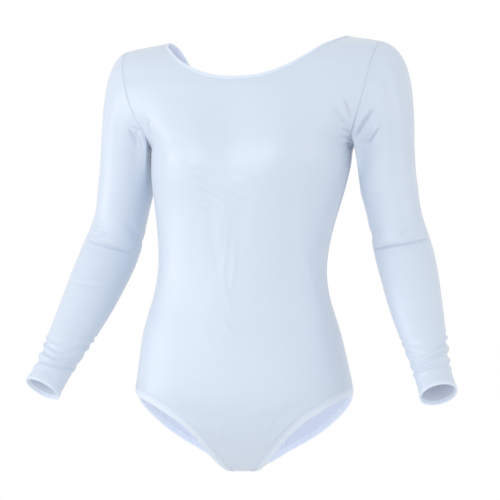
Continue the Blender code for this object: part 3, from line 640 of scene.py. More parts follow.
NECK = neck_ring()
ARMHOLES = {1: armhole_ring(ARMHOLE), -1: armhole_ring(RIGHT_ARMHOLE_FRONT)}
LEGS = leg_ring()
NECK_MIDDLE = len(NECK_FRONT)
NECK_END = NECK_MIDDLE + len(NECK_BACK)
ARMHOLE_MIDDLE = len(ARMHOLE) + 1
ARMHOLE_END = 2 * ARMHOLE_MIDDLE
LEG_MIDDLE = len(LEG_FRONT) + 1
LEG_END = LEG_MIDDLE + len(LEG_BACK) + 1
SIDE_START = LEG_ROWS
SIDE_END = SIDE_START + SIDE_ROWS
LAST_ROW = SIDE_END + ARMHOLE_ROWS


def centre_line(face, low, high):
    """Line down the middle of the front or back between two heights."""
    t = np.linspace(0.0, 1.0, LINE_POINTS)
    height = low + (high - low) * t * t
    room = np.clip(1.0 - seat(height), 0.0, None) ** (1 / ROUNDNESS)
    depth = FRONT_AT(height) if face < 0 else BACK_AT(height)
    return np.stack([np.zeros_like(t), CENTRE_AT(height) + face * depth * room, height], axis=-1)


def panel_rails(face, hand):
    """Inner and outer rails of one half of the front (face -1) or back (face 1)."""
    if face < 0:
        neck = NECK.span(0, NECK_MIDDLE, NECK_HEM + CLOSE_GAP)
        arm = ARMHOLES[hand].span(0, ARMHOLE_MIDDLE, CLOSE_GAP)[::-1]
        leg = LEGS.span(0, LEG_MIDDLE, LEG_HEM + CLOSE_GAP)[::-1]
        chest = SIDE_END + FRONT_CHEST_ROWS
    else:
        neck = NECK.span(NECK_MIDDLE, NECK_END, NECK_HEM + CLOSE_GAP)[::-1]
        arm = ARMHOLES[hand].span(ARMHOLE_MIDDLE, ARMHOLE_END, CLOSE_GAP)
        leg = LEGS.span(LEG_MIDDLE, LEG_END, LEG_HEM + CLOSE_GAP)
        chest = SIDE_END + BACK_CHEST_ROWS
    neck[0, 0] = 0.0
    side_low, side_high = leg[-1, 2], arm[0, 2]
    side = on_side(np.linspace(side_low, side_high, LINE_POINTS))
    rest = fade_in(side_low + SIDE_BLEND - side[:, 2:], SIDE_BLEND)
    side = settle(side + (leg[-1] - side[0]) * rest)
    inner = [
        (0, SIDE_START, centre_line(face, CROTCH, side_low)),
        (SIDE_START, SIDE_END, centre_line(face, side_low, side_high)),
        (SIDE_END, chest, centre_line(face, side_high, neck[0, 2])),
        (chest, LAST_ROW, neck),
    ]
    outer = [(0, SIDE_START, leg), (SIDE_START, SIDE_END, side), (SIDE_END, LAST_ROW, arm)]
    return inner, outer


def crowded_near(measure, crowding, even, wanted):
    """A wanted number of places out of even ones, closer together where the crowding says."""
    dense = np.ones_like(even)
    for middle, spread, extra in crowding:
        dense += extra * np.exp(-(((measure - middle) / spread) ** 2))
    count = np.concatenate([[0.0], np.cumsum((dense[1:] + dense[:-1]) / 2)])
    return np.interp(np.linspace(0.0, count[-1], wanted), count, even)


def crowded(count):
    """Fractions from 0 to 1, closer together at both ends."""
    t = np.linspace(0.0, 1.0, count + 1)
    return (1.0 - END_CROWDING) * t + END_CROWDING * (0.5 - 0.5 * np.cos(np.pi * t))


def trough(distance, width):
    """Cross-section of a soft fold: a trough with a low ridge on each side."""
    q = (distance / width) ** 2
    return (2.0 * q - 1.0) * np.exp(-q)


def fold_height(places, start, end, width, depth):
    """Height of one fold over flat places, fading out towards its ends."""
    start, end = np.array(start), np.array(end)
    along = end - start
    length = np.linalg.norm(along)
    t = ((places - start) @ along) / length**2
    nearest = start + np.clip(t, 0.0, 1.0)[..., None] * along
    distance = np.linalg.norm(places - nearest, axis=-1)
    fade = np.clip(1.0 - np.abs(2.0 * np.clip(t, 0.0, 1.0) - 1.0) ** 3, 0.0, 1.0)
    return depth * fade * trough(distance, width)


def tuck_height(places, start, end, width, depth):
    """Height of one sharp tuck: a narrow valley and the roll of cloth beside it."""
    start, end = np.array(start), np.array(end)
    along = end - start
    length = np.linalg.norm(along)
    t = ((places - start) @ along) / length**2
    away = (places - start) @ np.array([-along[1], along[0]]) / length
    beyond = np.maximum(np.maximum(-t, t - 1.0), 0.0) * length
    fade = np.clip(1.0 - np.abs(2.0 * np.clip(t, 0.0, 1.0) - 1.0) ** 4, 0.0, 1.0)
    valley = np.exp(-(away**2 + beyond**2) / width**2)
    roll_away, roll_width = away - TUCK_ROLL_AWAY * width, TUCK_ROLL_WIDTH * width
    roll = np.exp(-(roll_away**2 + beyond**2) / roll_width**2)
    return depth * fade * (TUCK_ROLL * roll - valley)


def fullness(points):
    """How far the bust stands off the plain figure."""
    z = points[..., 2]
    across = np.sqrt(points[..., 0] ** 2 + BUST_MIDDLE**2)
    away = ((across - BUST.across) / BUST.width) ** 2 + ((z - BUST.height) / BUST.tall) ** 2
    return BUST.rise * np.exp(-away)


def ripple_height(places, ripple):
    """Height of one ripple that follows a line of points."""
    line = np.array(ripple.line)
    steps = np.linalg.norm(np.diff(line, axis=0), axis=1)
    passed = np.concatenate([[0.0], np.cumsum(steps)])
    nearest = np.full(places.shape[:-1], np.inf)
    reached = np.zeros(places.shape[:-1])
    for start, way, step, before in zip(line, np.diff(line, axis=0), steps, passed):
        t = np.clip(((places - start) @ way) / step**2, 0.0, 1.0)
        away = np.linalg.norm(places - start - t[..., None] * way, axis=-1)
        closer = away < nearest
        nearest = np.where(closer, away, nearest)
        reached = np.where(closer, before + t * step, reached)
    fade = 1.0 - np.abs(2.0 * reached / passed[-1] - 1.0) ** 3
    return ripple.height * fade * np.exp(-((nearest / ripple.width) ** 2))


def body_folds(points, folds):
    """Height of all a panel's folds."""
    flat = points[..., [0, 2]]
    rise = np.zeros(points.shape[:-1])
    for ripple in folds.ripples:
        rise = rise + ripple_height(flat, ripple)
    for tuck in folds.tucks:
        start = (tuck.across, tuck.height)
        end = (tuck.to_across, tuck.to_height)
        rise = rise + tuck_height(flat, start, end, tuck.width, tuck.depth)
    for crease in folds.creases:
        start = (crease.across, crease.height)
        end = (crease.to_across, crease.to_height)
        rise = rise + fold_height(flat, start, end, crease.width, crease.depth)
    return rise


def seam_height(distance):
    """Valley of a sewn seam with a low ridge over its seam allowance."""
    valley = SEAM_VALLEY * np.exp(-((distance / SEAM_VALLEY_WIDTH) ** 2))
    ridge = SEAM_RIDGE * np.exp(-(((distance - SEAM_RIDGE_AWAY) / SEAM_RIDGE_WIDTH) ** 2))
    return ridge - valley


def tilt(points):
    """Points with the left shoulder raised and the right one lowered."""
    share = 1.0 - fade_in(TILT_TOP - points[..., 2], TILT_REACH)
    height = points[..., 2] + SHOULDER_TILT * points[..., 0] * share
    return np.concatenate([points[..., :2], height[..., None]], axis=-1)


def stand(points):
    """Points of the body tilted, swayed and turned as the garment stands."""
    points = tilt(points)
    share = fade_in(ARMPIT - points[..., 2], STANCE_START)
    turn = np.radians(TURN_AT(points[..., 2])) * share
    x, y = points[..., 0], points[..., 1]
    turned_x = x * np.cos(turn) - y * np.sin(turn) + SWAY_AT(points[..., 2]) * share
    turned_y = x * np.sin(turn) + y * np.cos(turn)
    return np.stack([turned_x, turned_y, points[..., 2]], axis=-1)


def panel_row_numbers():
    """Row numbers of a panel, closer together at the crotch and shoulder."""
    legs = np.linspace(0, SIDE_START, LEG_ROWS * LEG_FINE, endpoint=False)
    sides = np.linspace(SIDE_START, SIDE_END, SIDE_ROWS * SIDE_FINE, endpoint=False)
    arms = np.linspace(SIDE_END, LAST_ROW, ARMHOLE_ROWS * ARMHOLE_FINE + 1)
    whole = np.concatenate([NEAR_ROWS, legs, sides, arms, LAST_ROW - NEAR_ROWS])
    return np.unique(np.round(whole, 6))


def flat_places(points):
    """Where each point of a sheet lies on the flat cut, for the weave to follow."""
    across = np.linalg.norm(np.diff(points, axis=1), axis=-1).cumsum(axis=1)
    down = np.linalg.norm(np.diff(points, axis=0), axis=-1).cumsum(axis=0)
    across = np.pad(across, ((0, 0), (1, 0)))
    down = np.pad(down, ((1, 0), (0, 0)))
    return np.stack([across, down], axis=-1)


def half_panel(face, folds, hand):
    """Outer points, inner points and flat places of half a panel; hand 1 is the left half."""
    inner_rail, outer_rail = panel_rails(face, hand)
    rows = panel_row_numbers()
    inner, outer = rail_points(inner_rail, rows), rail_points(outer_rail, rows)
    share = crowded(COLUMNS)[None, :, None]
    grid = settle(inner[:, None] * (1.0 - share) + outer[:, None] * share)
    grid[:, 0], grid[:, -1] = inner, outer
    sewn = (rows >= SIDE_START)[:, None]
    to_side = np.linalg.norm(grid - outer[:, None], axis=-1)
    to_neck = np.linalg.norm(grid - inner[:, None], axis=-1)
    to_shoulder = np.linalg.norm(grid - grid[-1:], axis=-1)
    to_crotch = np.linalg.norm(grid - grid[:1], axis=-1)
    open_rows = (inner[:, 0] > SMALL_STEP)[:, None]
    neck_away = np.where(open_rows, to_neck, 1.0)
    out = outward(grid)
    if hand < 0:
        grid, out = mirrored(grid), mirrored(out)
    rise = np.zeros(grid.shape[:2])
    if face < 0:
        rise = fullness(grid) * fade_in(to_side, SIDE_HOLD) * fade_in(neck_away, NECK_HOLD)
    held = fade_in(to_side, CREASE_HOLD) * fade_in(neck_away, CREASE_HOLD)
    rise = rise + body_folds(grid, folds) * held
    rise = rise + np.where(sewn, seam_height(to_side), 0.0)
    rise = rise + seam_height(to_shoulder) + seam_height(to_crotch)
    rise = rise[..., None]
    flat = flat_places(grid)
    flat[..., 0] *= hand
    return stand(grid + out * rise), stand(grid + out * (rise - CLOTH)), flat


def add_sheet(bm, place, weave, inner_points, sheet):
    """One grid of cloth in a mesh, each vertex knowing where its inner point is."""
    outer_grid, inner_grid, flat = sheet
    rows, columns = outer_grid.shape[:2]
    made = bmesh.ops.create_grid(bm, x_segments=columns - 1, y_segments=rows - 1, size=0.5)
    ordered = sorted(made["verts"], key=lambda vert: vert.index)
    outer, inner = outer_grid.reshape(-1, 3), inner_grid.reshape(-1, 3)
    flat = flat.reshape(-1, 2)
    base = ordered[0].index
    for vert, point in zip(ordered, outer):
        vert.co = point
        vert[place] = len(inner_points) + vert.index - base
    inner_points.extend(inner)
    faces = {face for vert in ordered for face in vert.link_faces}
    for face in faces:
        for loop in face.loops:
            loop[weave].uv = flat[loop.vert.index - base]


def cloth_piece(name, node, sheets, materials):
    """An object of one cut piece, a closed wall made from sheets of outer and inner points."""
    bm = bmesh.new()
    place = bm.verts.layers.int.new("place")
    weave = bm.loops.layers.uv.new("weave")
    inner_points = []
    for sheet in sheets:
        add_sheet(bm, place, weave, inner_points, sheet)
        bm.verts.index_update()
    bmesh.ops.remove_doubles(bm, verts=bm.verts[:], dist=JOIN_DISTANCE)
    made = bmesh.ops.extrude_face_region(bm, geom=bm.faces[:], use_keep_orig=True)
    for part in made["geom"]:
        if isinstance(part, bmesh.types.BMVert):
            part.co = inner_points[part[place]]
        elif isinstance(part, bmesh.types.BMFace):
            part.material_index = 1
    bmesh.ops.recalc_face_normals(bm, faces=bm.faces[:])
    return finished(name, node, bm, materials)


def finished(name, node, bm, materials):
    """The object of a piece, riding on the garment with its materials, the solid it stands for hidden.
    """
    mesh = bpy.data.meshes.new(name)
    bm.to_mesh(mesh)
    bm.free()
    mesh.shade_smooth()
    mesh.set_sharp_from_angle(angle=math.radians(SHARP_ANGLE))
    for material in materials:
        mesh.materials.append(material)
    piece = bpy.data.objects.new(name, mesh)
    bpy.context.scene.collection.objects.link(piece)
    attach(piece, "root")
    if node:
        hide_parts(node)
    return piece


def build_panel(name, face, folds, materials):
    """Front or back, from its two halves joined down the middle."""
    halves = [half_panel(face, folds, 1), half_panel(face, folds, -1)]
    return cloth_piece(name, name.replace("_cloth", ""), halves, materials)


def ring_rows(ring, marks, inset, lift):
    """Points round a ring, evenly spaced between its marks, at an inset and a lift."""
    parts = []
    for first, last in zip(marks, marks[1:]):
        line = ring.span(first, last, inset, lift)
        parts.append(spots(line, np.linspace(0.0, 1.0, HEM_COUNT, endpoint=False)))
    return np.concatenate(parts)


def hem_profile(width, stitch_rows):
    """Insets from the panel to the rounded open edge, with the heights of outer and inner faces."""
    flat = np.linspace(width - CLOSE_GAP, HEM_CLOTH / 2, HEM_FLAT_STEPS)
    turn = np.linspace(0.0, 0.5 * np.pi, HEM_TURN_STEPS)[1:]
    inset = np.concatenate([flat, HEM_CLOTH / 2 * (1.0 - np.sin(turn))])
    sink = sum(STITCH_SINK * np.exp(-(((flat - row) / STITCH_SINK_WIDTH) ** 2)) for row in stitch_rows)
    rise = 2.0 * HEM_RISE * fade_in(width - flat, width * HEM_RISE_SHARE) - sink
    middle = HEM_RISE - HEM_CLOTH / 2
    outer = np.concatenate([rise, middle + (rise[-1] - middle) * np.cos(turn)])
    turned_in = (HEM_RISE + CLOTH - HEM_CLOTH) * fade_in(width - flat, HEM_TURN_STEP)
    under = turned_in - CLOTH + sink
    edge = middle - (middle - under[-1]) * np.cos(turn) - HEM_EDGE_STEP
    return inset, outer, np.concatenate([under, edge])


def hem_sheet(ring, marks, width, stitch_rows):
    """Outer points, inner points and flat places of a hem, from its panel to the open edge."""
    outer, inner = [], []
    for inset, top, bottom in zip(*hem_profile(width, stitch_rows)):
        outer.append(ring_rows(ring, marks, inset, top))
        inner.append(ring_rows(ring, marks, inset, bottom))
    outer, inner = np.stack(outer), np.stack(inner)
    outer = np.concatenate([outer, outer[:, :1]], axis=1)
    inner = np.concatenate([inner, inner[:, :1]], axis=1)
    return outer, inner, flat_places(outer)


class Arm:
    """The left arm's centre line, its cross-sections and the sleeve's cap above them."""

    def __init__(self, cap_reach, armhole):
        centres = np.array([(ring.x, ring.y, ring.z) for ring in ARM])
        self.places = lengths_along(centres)
        self.length = self.places[-1]
        self.centre = Spline(self.places, centres)
        self.width = Spline(self.places, [ring.half_width for ring in ARM])
        self.depth = Spline(self.places, [ring.half_depth for ring in ARM])
        self.start = self.ring_of_armhole(cap_reach, armhole)

    def ring_of_armhole(self, cap_reach, armhole):
        """Lines over the turn of the arm: where the cap starts and which way it leaves."""
        parts = []
        for first, last in ((0, ARMHOLE_MIDDLE), (ARMHOLE_MIDDLE, ARMHOLE_END)):
            line = armhole.span(first, last)
            fractions = np.linspace(0.0, 1.0, 2 * LINE_STEPS, endpoint=False)
            parts.append(spots(line, fractions))
        points = settle(np.concatenate(parts))
        turns = np.linspace(0.0, 360.0, len(points), endpoint=False)
        out = outward(points)
        ways = np.array([CAP_TOP_WAY, CAP_FRONT_WAY, CAP_UNDER_WAY, CAP_BACK_WAY, CAP_TOP_WAY])
        way = unit(Spline(CAP_TURNS, ways)(turns))
        under = np.exp(-(((turns - 180.0) / UNDER_SPREAD) ** 2))[:, None]
        way = unit(way - (1.0 - under) * (way * out).sum(-1, keepdims=True) * out)
        reach = cap_reach * (1.0 - under) + UNDER_REACH * under
        whole = np.concatenate([points + way * CLOSE_GAP, way * reach, out], axis=1)
        turns = np.concatenate([turns, [360.0]])
        return Spline(turns, np.concatenate([whole, whole[:1]]))

    def ring(self, place, turn):
        """Points round the arm at a distance down it."""
        ahead = unit(self.centre(place + SHORT_WAY) - self.centre(place - SHORT_WAY))
        across = unit(np.array([1.0, 0.0, 0.0]) - ahead[..., :1] * ahead)
        forward = np.cross(ahead, across)
        angle = np.radians(turn)
        wide = (self.width(place) * np.cos(angle))[..., None] * across
        deep = (self.depth(place) * np.sin(angle))[..., None] * forward
        return self.centre(place) + wide + deep, ahead

    def point(self, reach, turn):
        """Sleeve before its folds: reach 0 to 1 is the cap, and 1 to 2 is down the arm."""
        reach, turn = np.broadcast_arrays(np.asarray(reach, float), np.asarray(turn, float) % 360.0)
        place = np.clip(reach - 1.0, 0.0, 1.0) * self.length
        ring, ahead = self.ring(place, turn)
        begin = self.start(turn)
        t = np.clip(reach, 0.0, 1.0)[..., None]
        under = np.exp(-(((turn - 180.0) / UNDER_LANDING_SPREAD) ** 2))[..., None]
        landing = ahead * (CAP_LANDING * (1.0 - under) + UNDER_LANDING * under)
        cap = hermite(begin[..., :3], begin[..., 3:6], ring, landing, t)
        return np.where(t < 1.0, cap, ring)

    def crowded_reaches(self, last):
        """Reaches of the rings down the arm, closest together at its creases."""
        even = np.linspace(1.0, last, LINE_POINTS)
        height = self.centre((even - 1.0) * self.length)[:, 2]
        return crowded_near(height, RING_CROWDING, even, ARM_RINGS)

    def out(self, reach, turn):
        """Unit vectors straight out of the sleeve."""
        low = np.clip(reach - REACH_STEP, 0.0, 2.0)
        high = np.clip(reach + REACH_STEP, 0.0, 2.0)
        down = self.point(high, turn) - self.point(low, turn)
        around = self.point(reach, turn + TURN_STEP) - self.point(reach, turn - TURN_STEP)
        return unit(np.cross(around, down))


def gather_height(points, turn):
    """Uneven waves of the cloth pushed up above the cuff."""
    slant = GATHER_SLANT * np.cos(np.radians(turn + GATHER_TURN))
    lift = points[..., 2] - GATHER_END - slant
    wander = np.sin(np.radians(2.0 * turn + WANDER_TURN) + lift * WANDER_RATE)
    waves = lift / GATHER_PITCH + GATHER_UNEVEN * wander
    inside = fade_in(waves, GATHER_RISE_WAVES) * fade_in(CUFF_GATHERS - waves, GATHER_FADE_WAVES)
    swing = np.sin(np.radians(turn - GATHER_UNEVEN_TURN) + waves)
    uneven = 1.0 - GATHER_UNEVEN + GATHER_UNEVEN * swing
    return GATHER_DEPTH * inside * uneven * np.sin(2 * np.pi * (waves - GATHER_PHASE))


def sleeve_folds(points, turn, folds):
    """Height of all a sleeve's folds."""
    flat = np.stack([np.radians(turn) * ARM_RADIUS, points[..., 2]], axis=-1)
    rise = gather_height(points, turn)
    for crease in folds.creases:
        start = (math.radians(crease.turn) * ARM_RADIUS, crease.height)
        end = (math.radians(crease.to_turn) * ARM_RADIUS, crease.to_height)
        rise = rise + fold_height(flat, start, end, crease.width, crease.depth)
    for tuck in folds.tucks:
        start = (math.radians(tuck.turn) * ARM_RADIUS, tuck.height)
        end = (math.radians(tuck.to_turn) * ARM_RADIUS, tuck.to_height)
        rise = rise + tuck_height(flat, start, end, tuck.width, tuck.depth)
    return rise


def sleeve_sheet(arm, folds):
    """Outer points, inner points and flat places of the left sleeve."""
    even = np.linspace(0.0, 360.0, LINE_POINTS)
    turns = crowded_near(even, TURN_CROWDING, even, SLEEVE_TURNS + 1)
    cap = crowded(2 * CAP_RINGS)
    cap = cap[:CAP_RINGS] / cap[CAP_RINGS]
    last = 2.0 - (CUFF_HEM + CLOSE_GAP) / arm.length
    reaches = np.concatenate([cap, arm.crowded_reaches(last)])
    reach, turn = np.meshgrid(reaches, turns, indexing="ij")
    points, out = arm.point(reach, turn), arm.out(reach, turn)
    away = np.linalg.norm(np.diff(points, axis=0), axis=-1).cumsum(axis=0)
    away = np.pad(away, ((1, 0), (0, 0)))
    edge_out = arm.start(turn)[..., 6:9]
    share = np.exp(-((away / SEAM_RIDGE_AWAY) ** 2))[..., None]
    out = unit(out * (1.0 - share) + edge_out * share)
    rise = sleeve_folds(points, turn, folds) * fade_in(away, CREASE_HOLD) + seam_height(away)
    rise = rise[..., None]
    outer, inner = points + out * rise, points + out * (rise - CLOTH)
    outer[:, -1], inner[:, -1] = outer[:, 0], inner[:, 0]
    return outer, inner, flat_places(points)


def cuff_sheet(arm):
    """Outer points, inner points and flat places of the left cuff's turned hem."""
    turns = np.linspace(0.0, 360.0, SLEEVE_TURNS + 1)
    outer, inner = [], []
    for inset, top, bottom in zip(*hem_profile(CUFF_HEM, CUFF_STITCH_ROWS)):
        reach = np.full_like(turns, 2.0 - inset / arm.length)
        points, out = arm.point(reach, turns), arm.out(reach, turns)
        outer.append(points + out * top)
        inner.append(points + out * bottom)
    outer, inner = np.stack(outer), np.stack(inner)
    outer[:, -1], inner[:, -1] = outer[:, 0], inner[:, 0]
    return outer, inner, flat_places(outer)


def moved_sheet(sheet, *moves):
    """A sheet with its outer and inner points moved, its flat places kept."""
    outer, inner, flat = sheet
    for move in moves:
        outer, inner = move(outer), move(inner)
    return outer, inner, flat


def stitches(name, material, lines):
    """Rows of single stitches along closed lines, each line with the way out of the cloth."""
    bm = bmesh.new()
    for line, out in lines:
        distance = lengths_along(line)
        count = int(distance[-1] / STITCH_STEP)
        middles = (np.arange(count) + 0.5) / count
        centres = spots(line, middles)
        ahead = spots(line, (np.arange(count) + STITCH_AHEAD) / count) - centres
        ways = [np.interp(middles * distance[-1], distance, out[:, axis]) for axis in range(3)]
        for centre, along, up in zip(centres, unit(ahead), unit(np.stack(ways, axis=-1))):
            side = np.cross(up, along)
            stitch_place = Matrix(
                [
                    [*(side * THREAD), 0.0],
                    [*(up * THREAD * THREAD_FLATNESS), 0.0],
                    [*(along * STITCH_LENGTH / 2), 0.0],
                    [*centre, 1.0],
                ]
            ).transposed()
            bmesh.ops.create_uvsphere(
                bm,
                u_segments=STITCH_TURNS,
                v_segments=STITCH_RINGS,
                radius=1.0,
                matrix=stitch_place,
            )
    bmesh.ops.recalc_face_normals(bm, faces=bm.faces[:])
    return finished(name, None, bm, [material])


def edge_lines(sheet, width, stitch_rows):
    """Closed lines on a hem's outer face at the stitch rows, with the way out of the cloth."""
    outer, inner, _ = sheet
    inset = hem_profile(width, stitch_rows)[0]
    lines = []
    for row in stitch_rows:
        place = np.interp(-row, -inset, np.arange(len(inset)))
        low = int(place)
        share = place - low
        line = outer[low] * (1.0 - share) + outer[low + 1] * share
        out = unit(outer[low] - inner[low])
        lines.append((line + out * THREAD * 0.5, out))
    return lines


# The fine pattern of the knit and its thread, and how they take the light
WALES_PER_METRE = 1700.0
KNIT_WAVES = (("X", 6.2832), ("Y", 5.2))
COURSE_SHARE = 0.6
GRAIN_SCALE = 900.0
GRAIN_DETAIL = 2.0
UNEVEN_SCALE = 9.0
UNEVEN_DETAIL = 3.0
TWIST_SCALE = 2500.0
KNIT_BUMP = 0.25
KNIT_DEPTH = 0.00006
ROUGHNESS_SPREAD = 0.05
SHEEN_ROUGHNESS = 0.4
SPECULAR = 0.6
THREAD_ROUGHNESS = 0.5
THREAD_PALE = (0.50, 0.60, 0.76, 1.0)
THREAD_PALER = (0.62, 0.71, 0.84, 1.0)


def mix_colour(nodes, links, factor, low, high):
    """A colour between two, by a factor."""
    mix = nodes.new("ShaderNodeMix")
    mix.data_type = "RGBA"
    mix.inputs["A"].default_value = low
    mix.inputs["B"].default_value = high
    links.new(factor, mix.inputs["Factor"])
    return mix.outputs["Result"]


def knit_group():
    """Fine stretch knit: its loops' height, the grain of its yarn and slow unevenness."""
    group = bpy.data.node_groups.new("fine stretch knit", "ShaderNodeTree")
    group.interface.new_socket("Wales per metre", in_out="INPUT", socket_type="NodeSocketFloat")
    group.interface.new_socket("Height", in_out="OUTPUT", socket_type="NodeSocketFloat")
    group.interface.new_socket("Grain", in_out="OUTPUT", socket_type="NodeSocketFloat")
    group.interface.new_socket("Unevenness", in_out="OUTPUT", socket_type="NodeSocketFloat")
    nodes, links = group.nodes, group.links
    given = nodes.new("NodeGroupInput")
    result = nodes.new("NodeGroupOutput")
    weave = nodes.new("ShaderNodeUVMap")
    weave.uv_map = "weave"
    place = nodes.new("ShaderNodeTexCoord")
    split = nodes.new("ShaderNodeSeparateXYZ")
    links.new(weave.outputs["UV"], split.inputs["Vector"])
    waves = []
    for axis, turns in KNIT_WAVES:
        scaled = nodes.new("ShaderNodeMath")
        scaled.operation = "MULTIPLY"
        links.new(split.outputs[axis], scaled.inputs[0])
        links.new(given.outputs["Wales per metre"], scaled.inputs[1])
        turned = nodes.new("ShaderNodeMath")
        turned.operation = "MULTIPLY"
        turned.inputs[1].default_value = turns
        links.new(scaled.outputs["Value"], turned.inputs[0])
        wave = nodes.new("ShaderNodeMath")
        wave.operation = "SINE"
        links.new(turned.outputs["Value"], wave.inputs[0])
        waves.append(wave)
    loops = nodes.new("ShaderNodeMath")
    loops.operation = "MULTIPLY_ADD"
    loops.inputs[1].default_value = COURSE_SHARE
    links.new(waves[1].outputs["Value"], loops.inputs[0])
    links.new(waves[0].outputs["Value"], loops.inputs[2])
    grain = nodes.new("ShaderNodeTexNoise")
    grain.inputs["Scale"].default_value = GRAIN_SCALE
    grain.inputs["Detail"].default_value = GRAIN_DETAIL
    links.new(place.outputs["Object"], grain.inputs["Vector"])
    slow = nodes.new("ShaderNodeTexNoise")
    slow.inputs["Scale"].default_value = UNEVEN_SCALE
    slow.inputs["Detail"].default_value = UNEVEN_DETAIL
    links.new(place.outputs["Object"], slow.inputs["Vector"])
    links.new(loops.outputs["Value"], result.inputs["Height"])
    links.new(grain.outputs["Fac"], result.inputs["Grain"])
    links.new(slow.outputs["Fac"], result.inputs["Unevenness"])
    return group


# Finishes of the knit: two close colours, and a painted glow, an emission that lightens the cloth as
# if light came through the thin knit from the other side
Finish = namedtuple("Finish", "name low high roughness sheen glow")
PALE, PALER = (0.60, 0.68, 0.80, 1.0), (0.645, 0.725, 0.835, 1.0)
# Colours of the duller insides, lighter than the outside's: painted light for the light that comes
# through the thin knit
INSIDE_PAINTED_LIGHT, INSIDE_PAINTED_LIGHTER = (0.70, 0.77, 0.88, 1.0), (0.74, 0.80, 0.90, 1.0)
HEM_PALE, HEM_PALER = (0.65, 0.73, 0.84, 1.0), (0.69, 0.77, 0.87, 1.0)
# Painted glow in every finish but the outside, strongest on the turned-in hems and cuffs so that their
# inner bands show lighter
OUTSIDE = Finish("shiny pale blue knit", PALE, PALER, 0.34, 0.2, 0.0)
INSIDE = Finish("duller inside of the body, painted glow", INSIDE_PAINTED_LIGHT, INSIDE_PAINTED_LIGHTER, 0.55, 0.15, 0.125)
SLEEVE_INSIDE = Finish("duller inside of the sleeves, painted glow", INSIDE_PAINTED_LIGHT, INSIDE_PAINTED_LIGHTER, 0.55, 0.15, 0.03)
HEM_OUTSIDE = Finish("doubled knit of the hems, painted glow", HEM_PALE, HEM_PALER, 0.36, 0.2, 0.03)
HEM_INSIDE = Finish("turned-in knit of the hems, painted glow", HEM_PALE, HEM_PALER, 0.36, 0.2, 0.21)
CUFF_INSIDE = Finish("turned-in knit of the cuffs, painted glow", HEM_PALE, HEM_PALER, 0.36, 0.2, 0.16)
PAINTED_GLOW_TINT = (0.92, 0.90, 0.95, 1.0)


def cloth_material(group, finish):
    """Stretch knit in one finish."""
    material = bpy.data.materials.new(finish.name)
    material.use_nodes = True
    nodes, links = material.node_tree.nodes, material.node_tree.links
    shader = nodes["Principled BSDF"]
    knit = nodes.new("ShaderNodeGroup")
    knit.node_tree = group
    knit.inputs["Wales per metre"].default_value = WALES_PER_METRE
    colour = mix_colour(nodes, links, knit.outputs["Unevenness"], finish.low, finish.high)
    links.new(colour, shader.inputs["Base Color"])
    gloss = nodes.new("ShaderNodeMapRange")
    gloss.inputs["To Min"].default_value = finish.roughness - ROUGHNESS_SPREAD
    gloss.inputs["To Max"].default_value = finish.roughness + ROUGHNESS_SPREAD
    links.new(knit.outputs["Grain"], gloss.inputs["Value"])
    links.new(gloss.outputs["Result"], shader.inputs["Roughness"])
    shader.inputs["Sheen Weight"].default_value = finish.sheen
    shader.inputs["Sheen Roughness"].default_value = SHEEN_ROUGHNESS
    shader.inputs["Specular IOR Level"].default_value = SPECULAR
    # Painted glow: the finish's emission, light painted into the cloth
    shader.inputs["Emission Color"].default_value = PAINTED_GLOW_TINT
    shader.inputs["Emission Strength"].default_value = finish.glow
    bump = nodes.new("ShaderNodeBump")
    bump.inputs["Strength"].default_value = KNIT_BUMP
    bump.inputs["Distance"].default_value = KNIT_DEPTH
    links.new(knit.outputs["Height"], bump.inputs["Height"])
    links.new(bump.outputs["Normal"], shader.inputs["Normal"])
    return material


def thread_material():
    """Matching sewing thread, a little duller than the cloth."""
    material = bpy.data.materials.new("pale blue thread")
    material.use_nodes = True
    nodes, links = material.node_tree.nodes, material.node_tree.links
    shader = nodes["Principled BSDF"]
    place = nodes.new("ShaderNodeTexCoord")
    twist = nodes.new("ShaderNodeTexNoise")
    twist.inputs["Scale"].default_value = TWIST_SCALE
    links.new(place.outputs["Object"], twist.inputs["Vector"])
    colour = mix_colour(nodes, links, twist.outputs["Fac"], THREAD_PALE, THREAD_PALER)
    links.new(colour, shader.inputs["Base Color"])
    shader.inputs["Roughness"].default_value = THREAD_ROUGHNESS
    return material


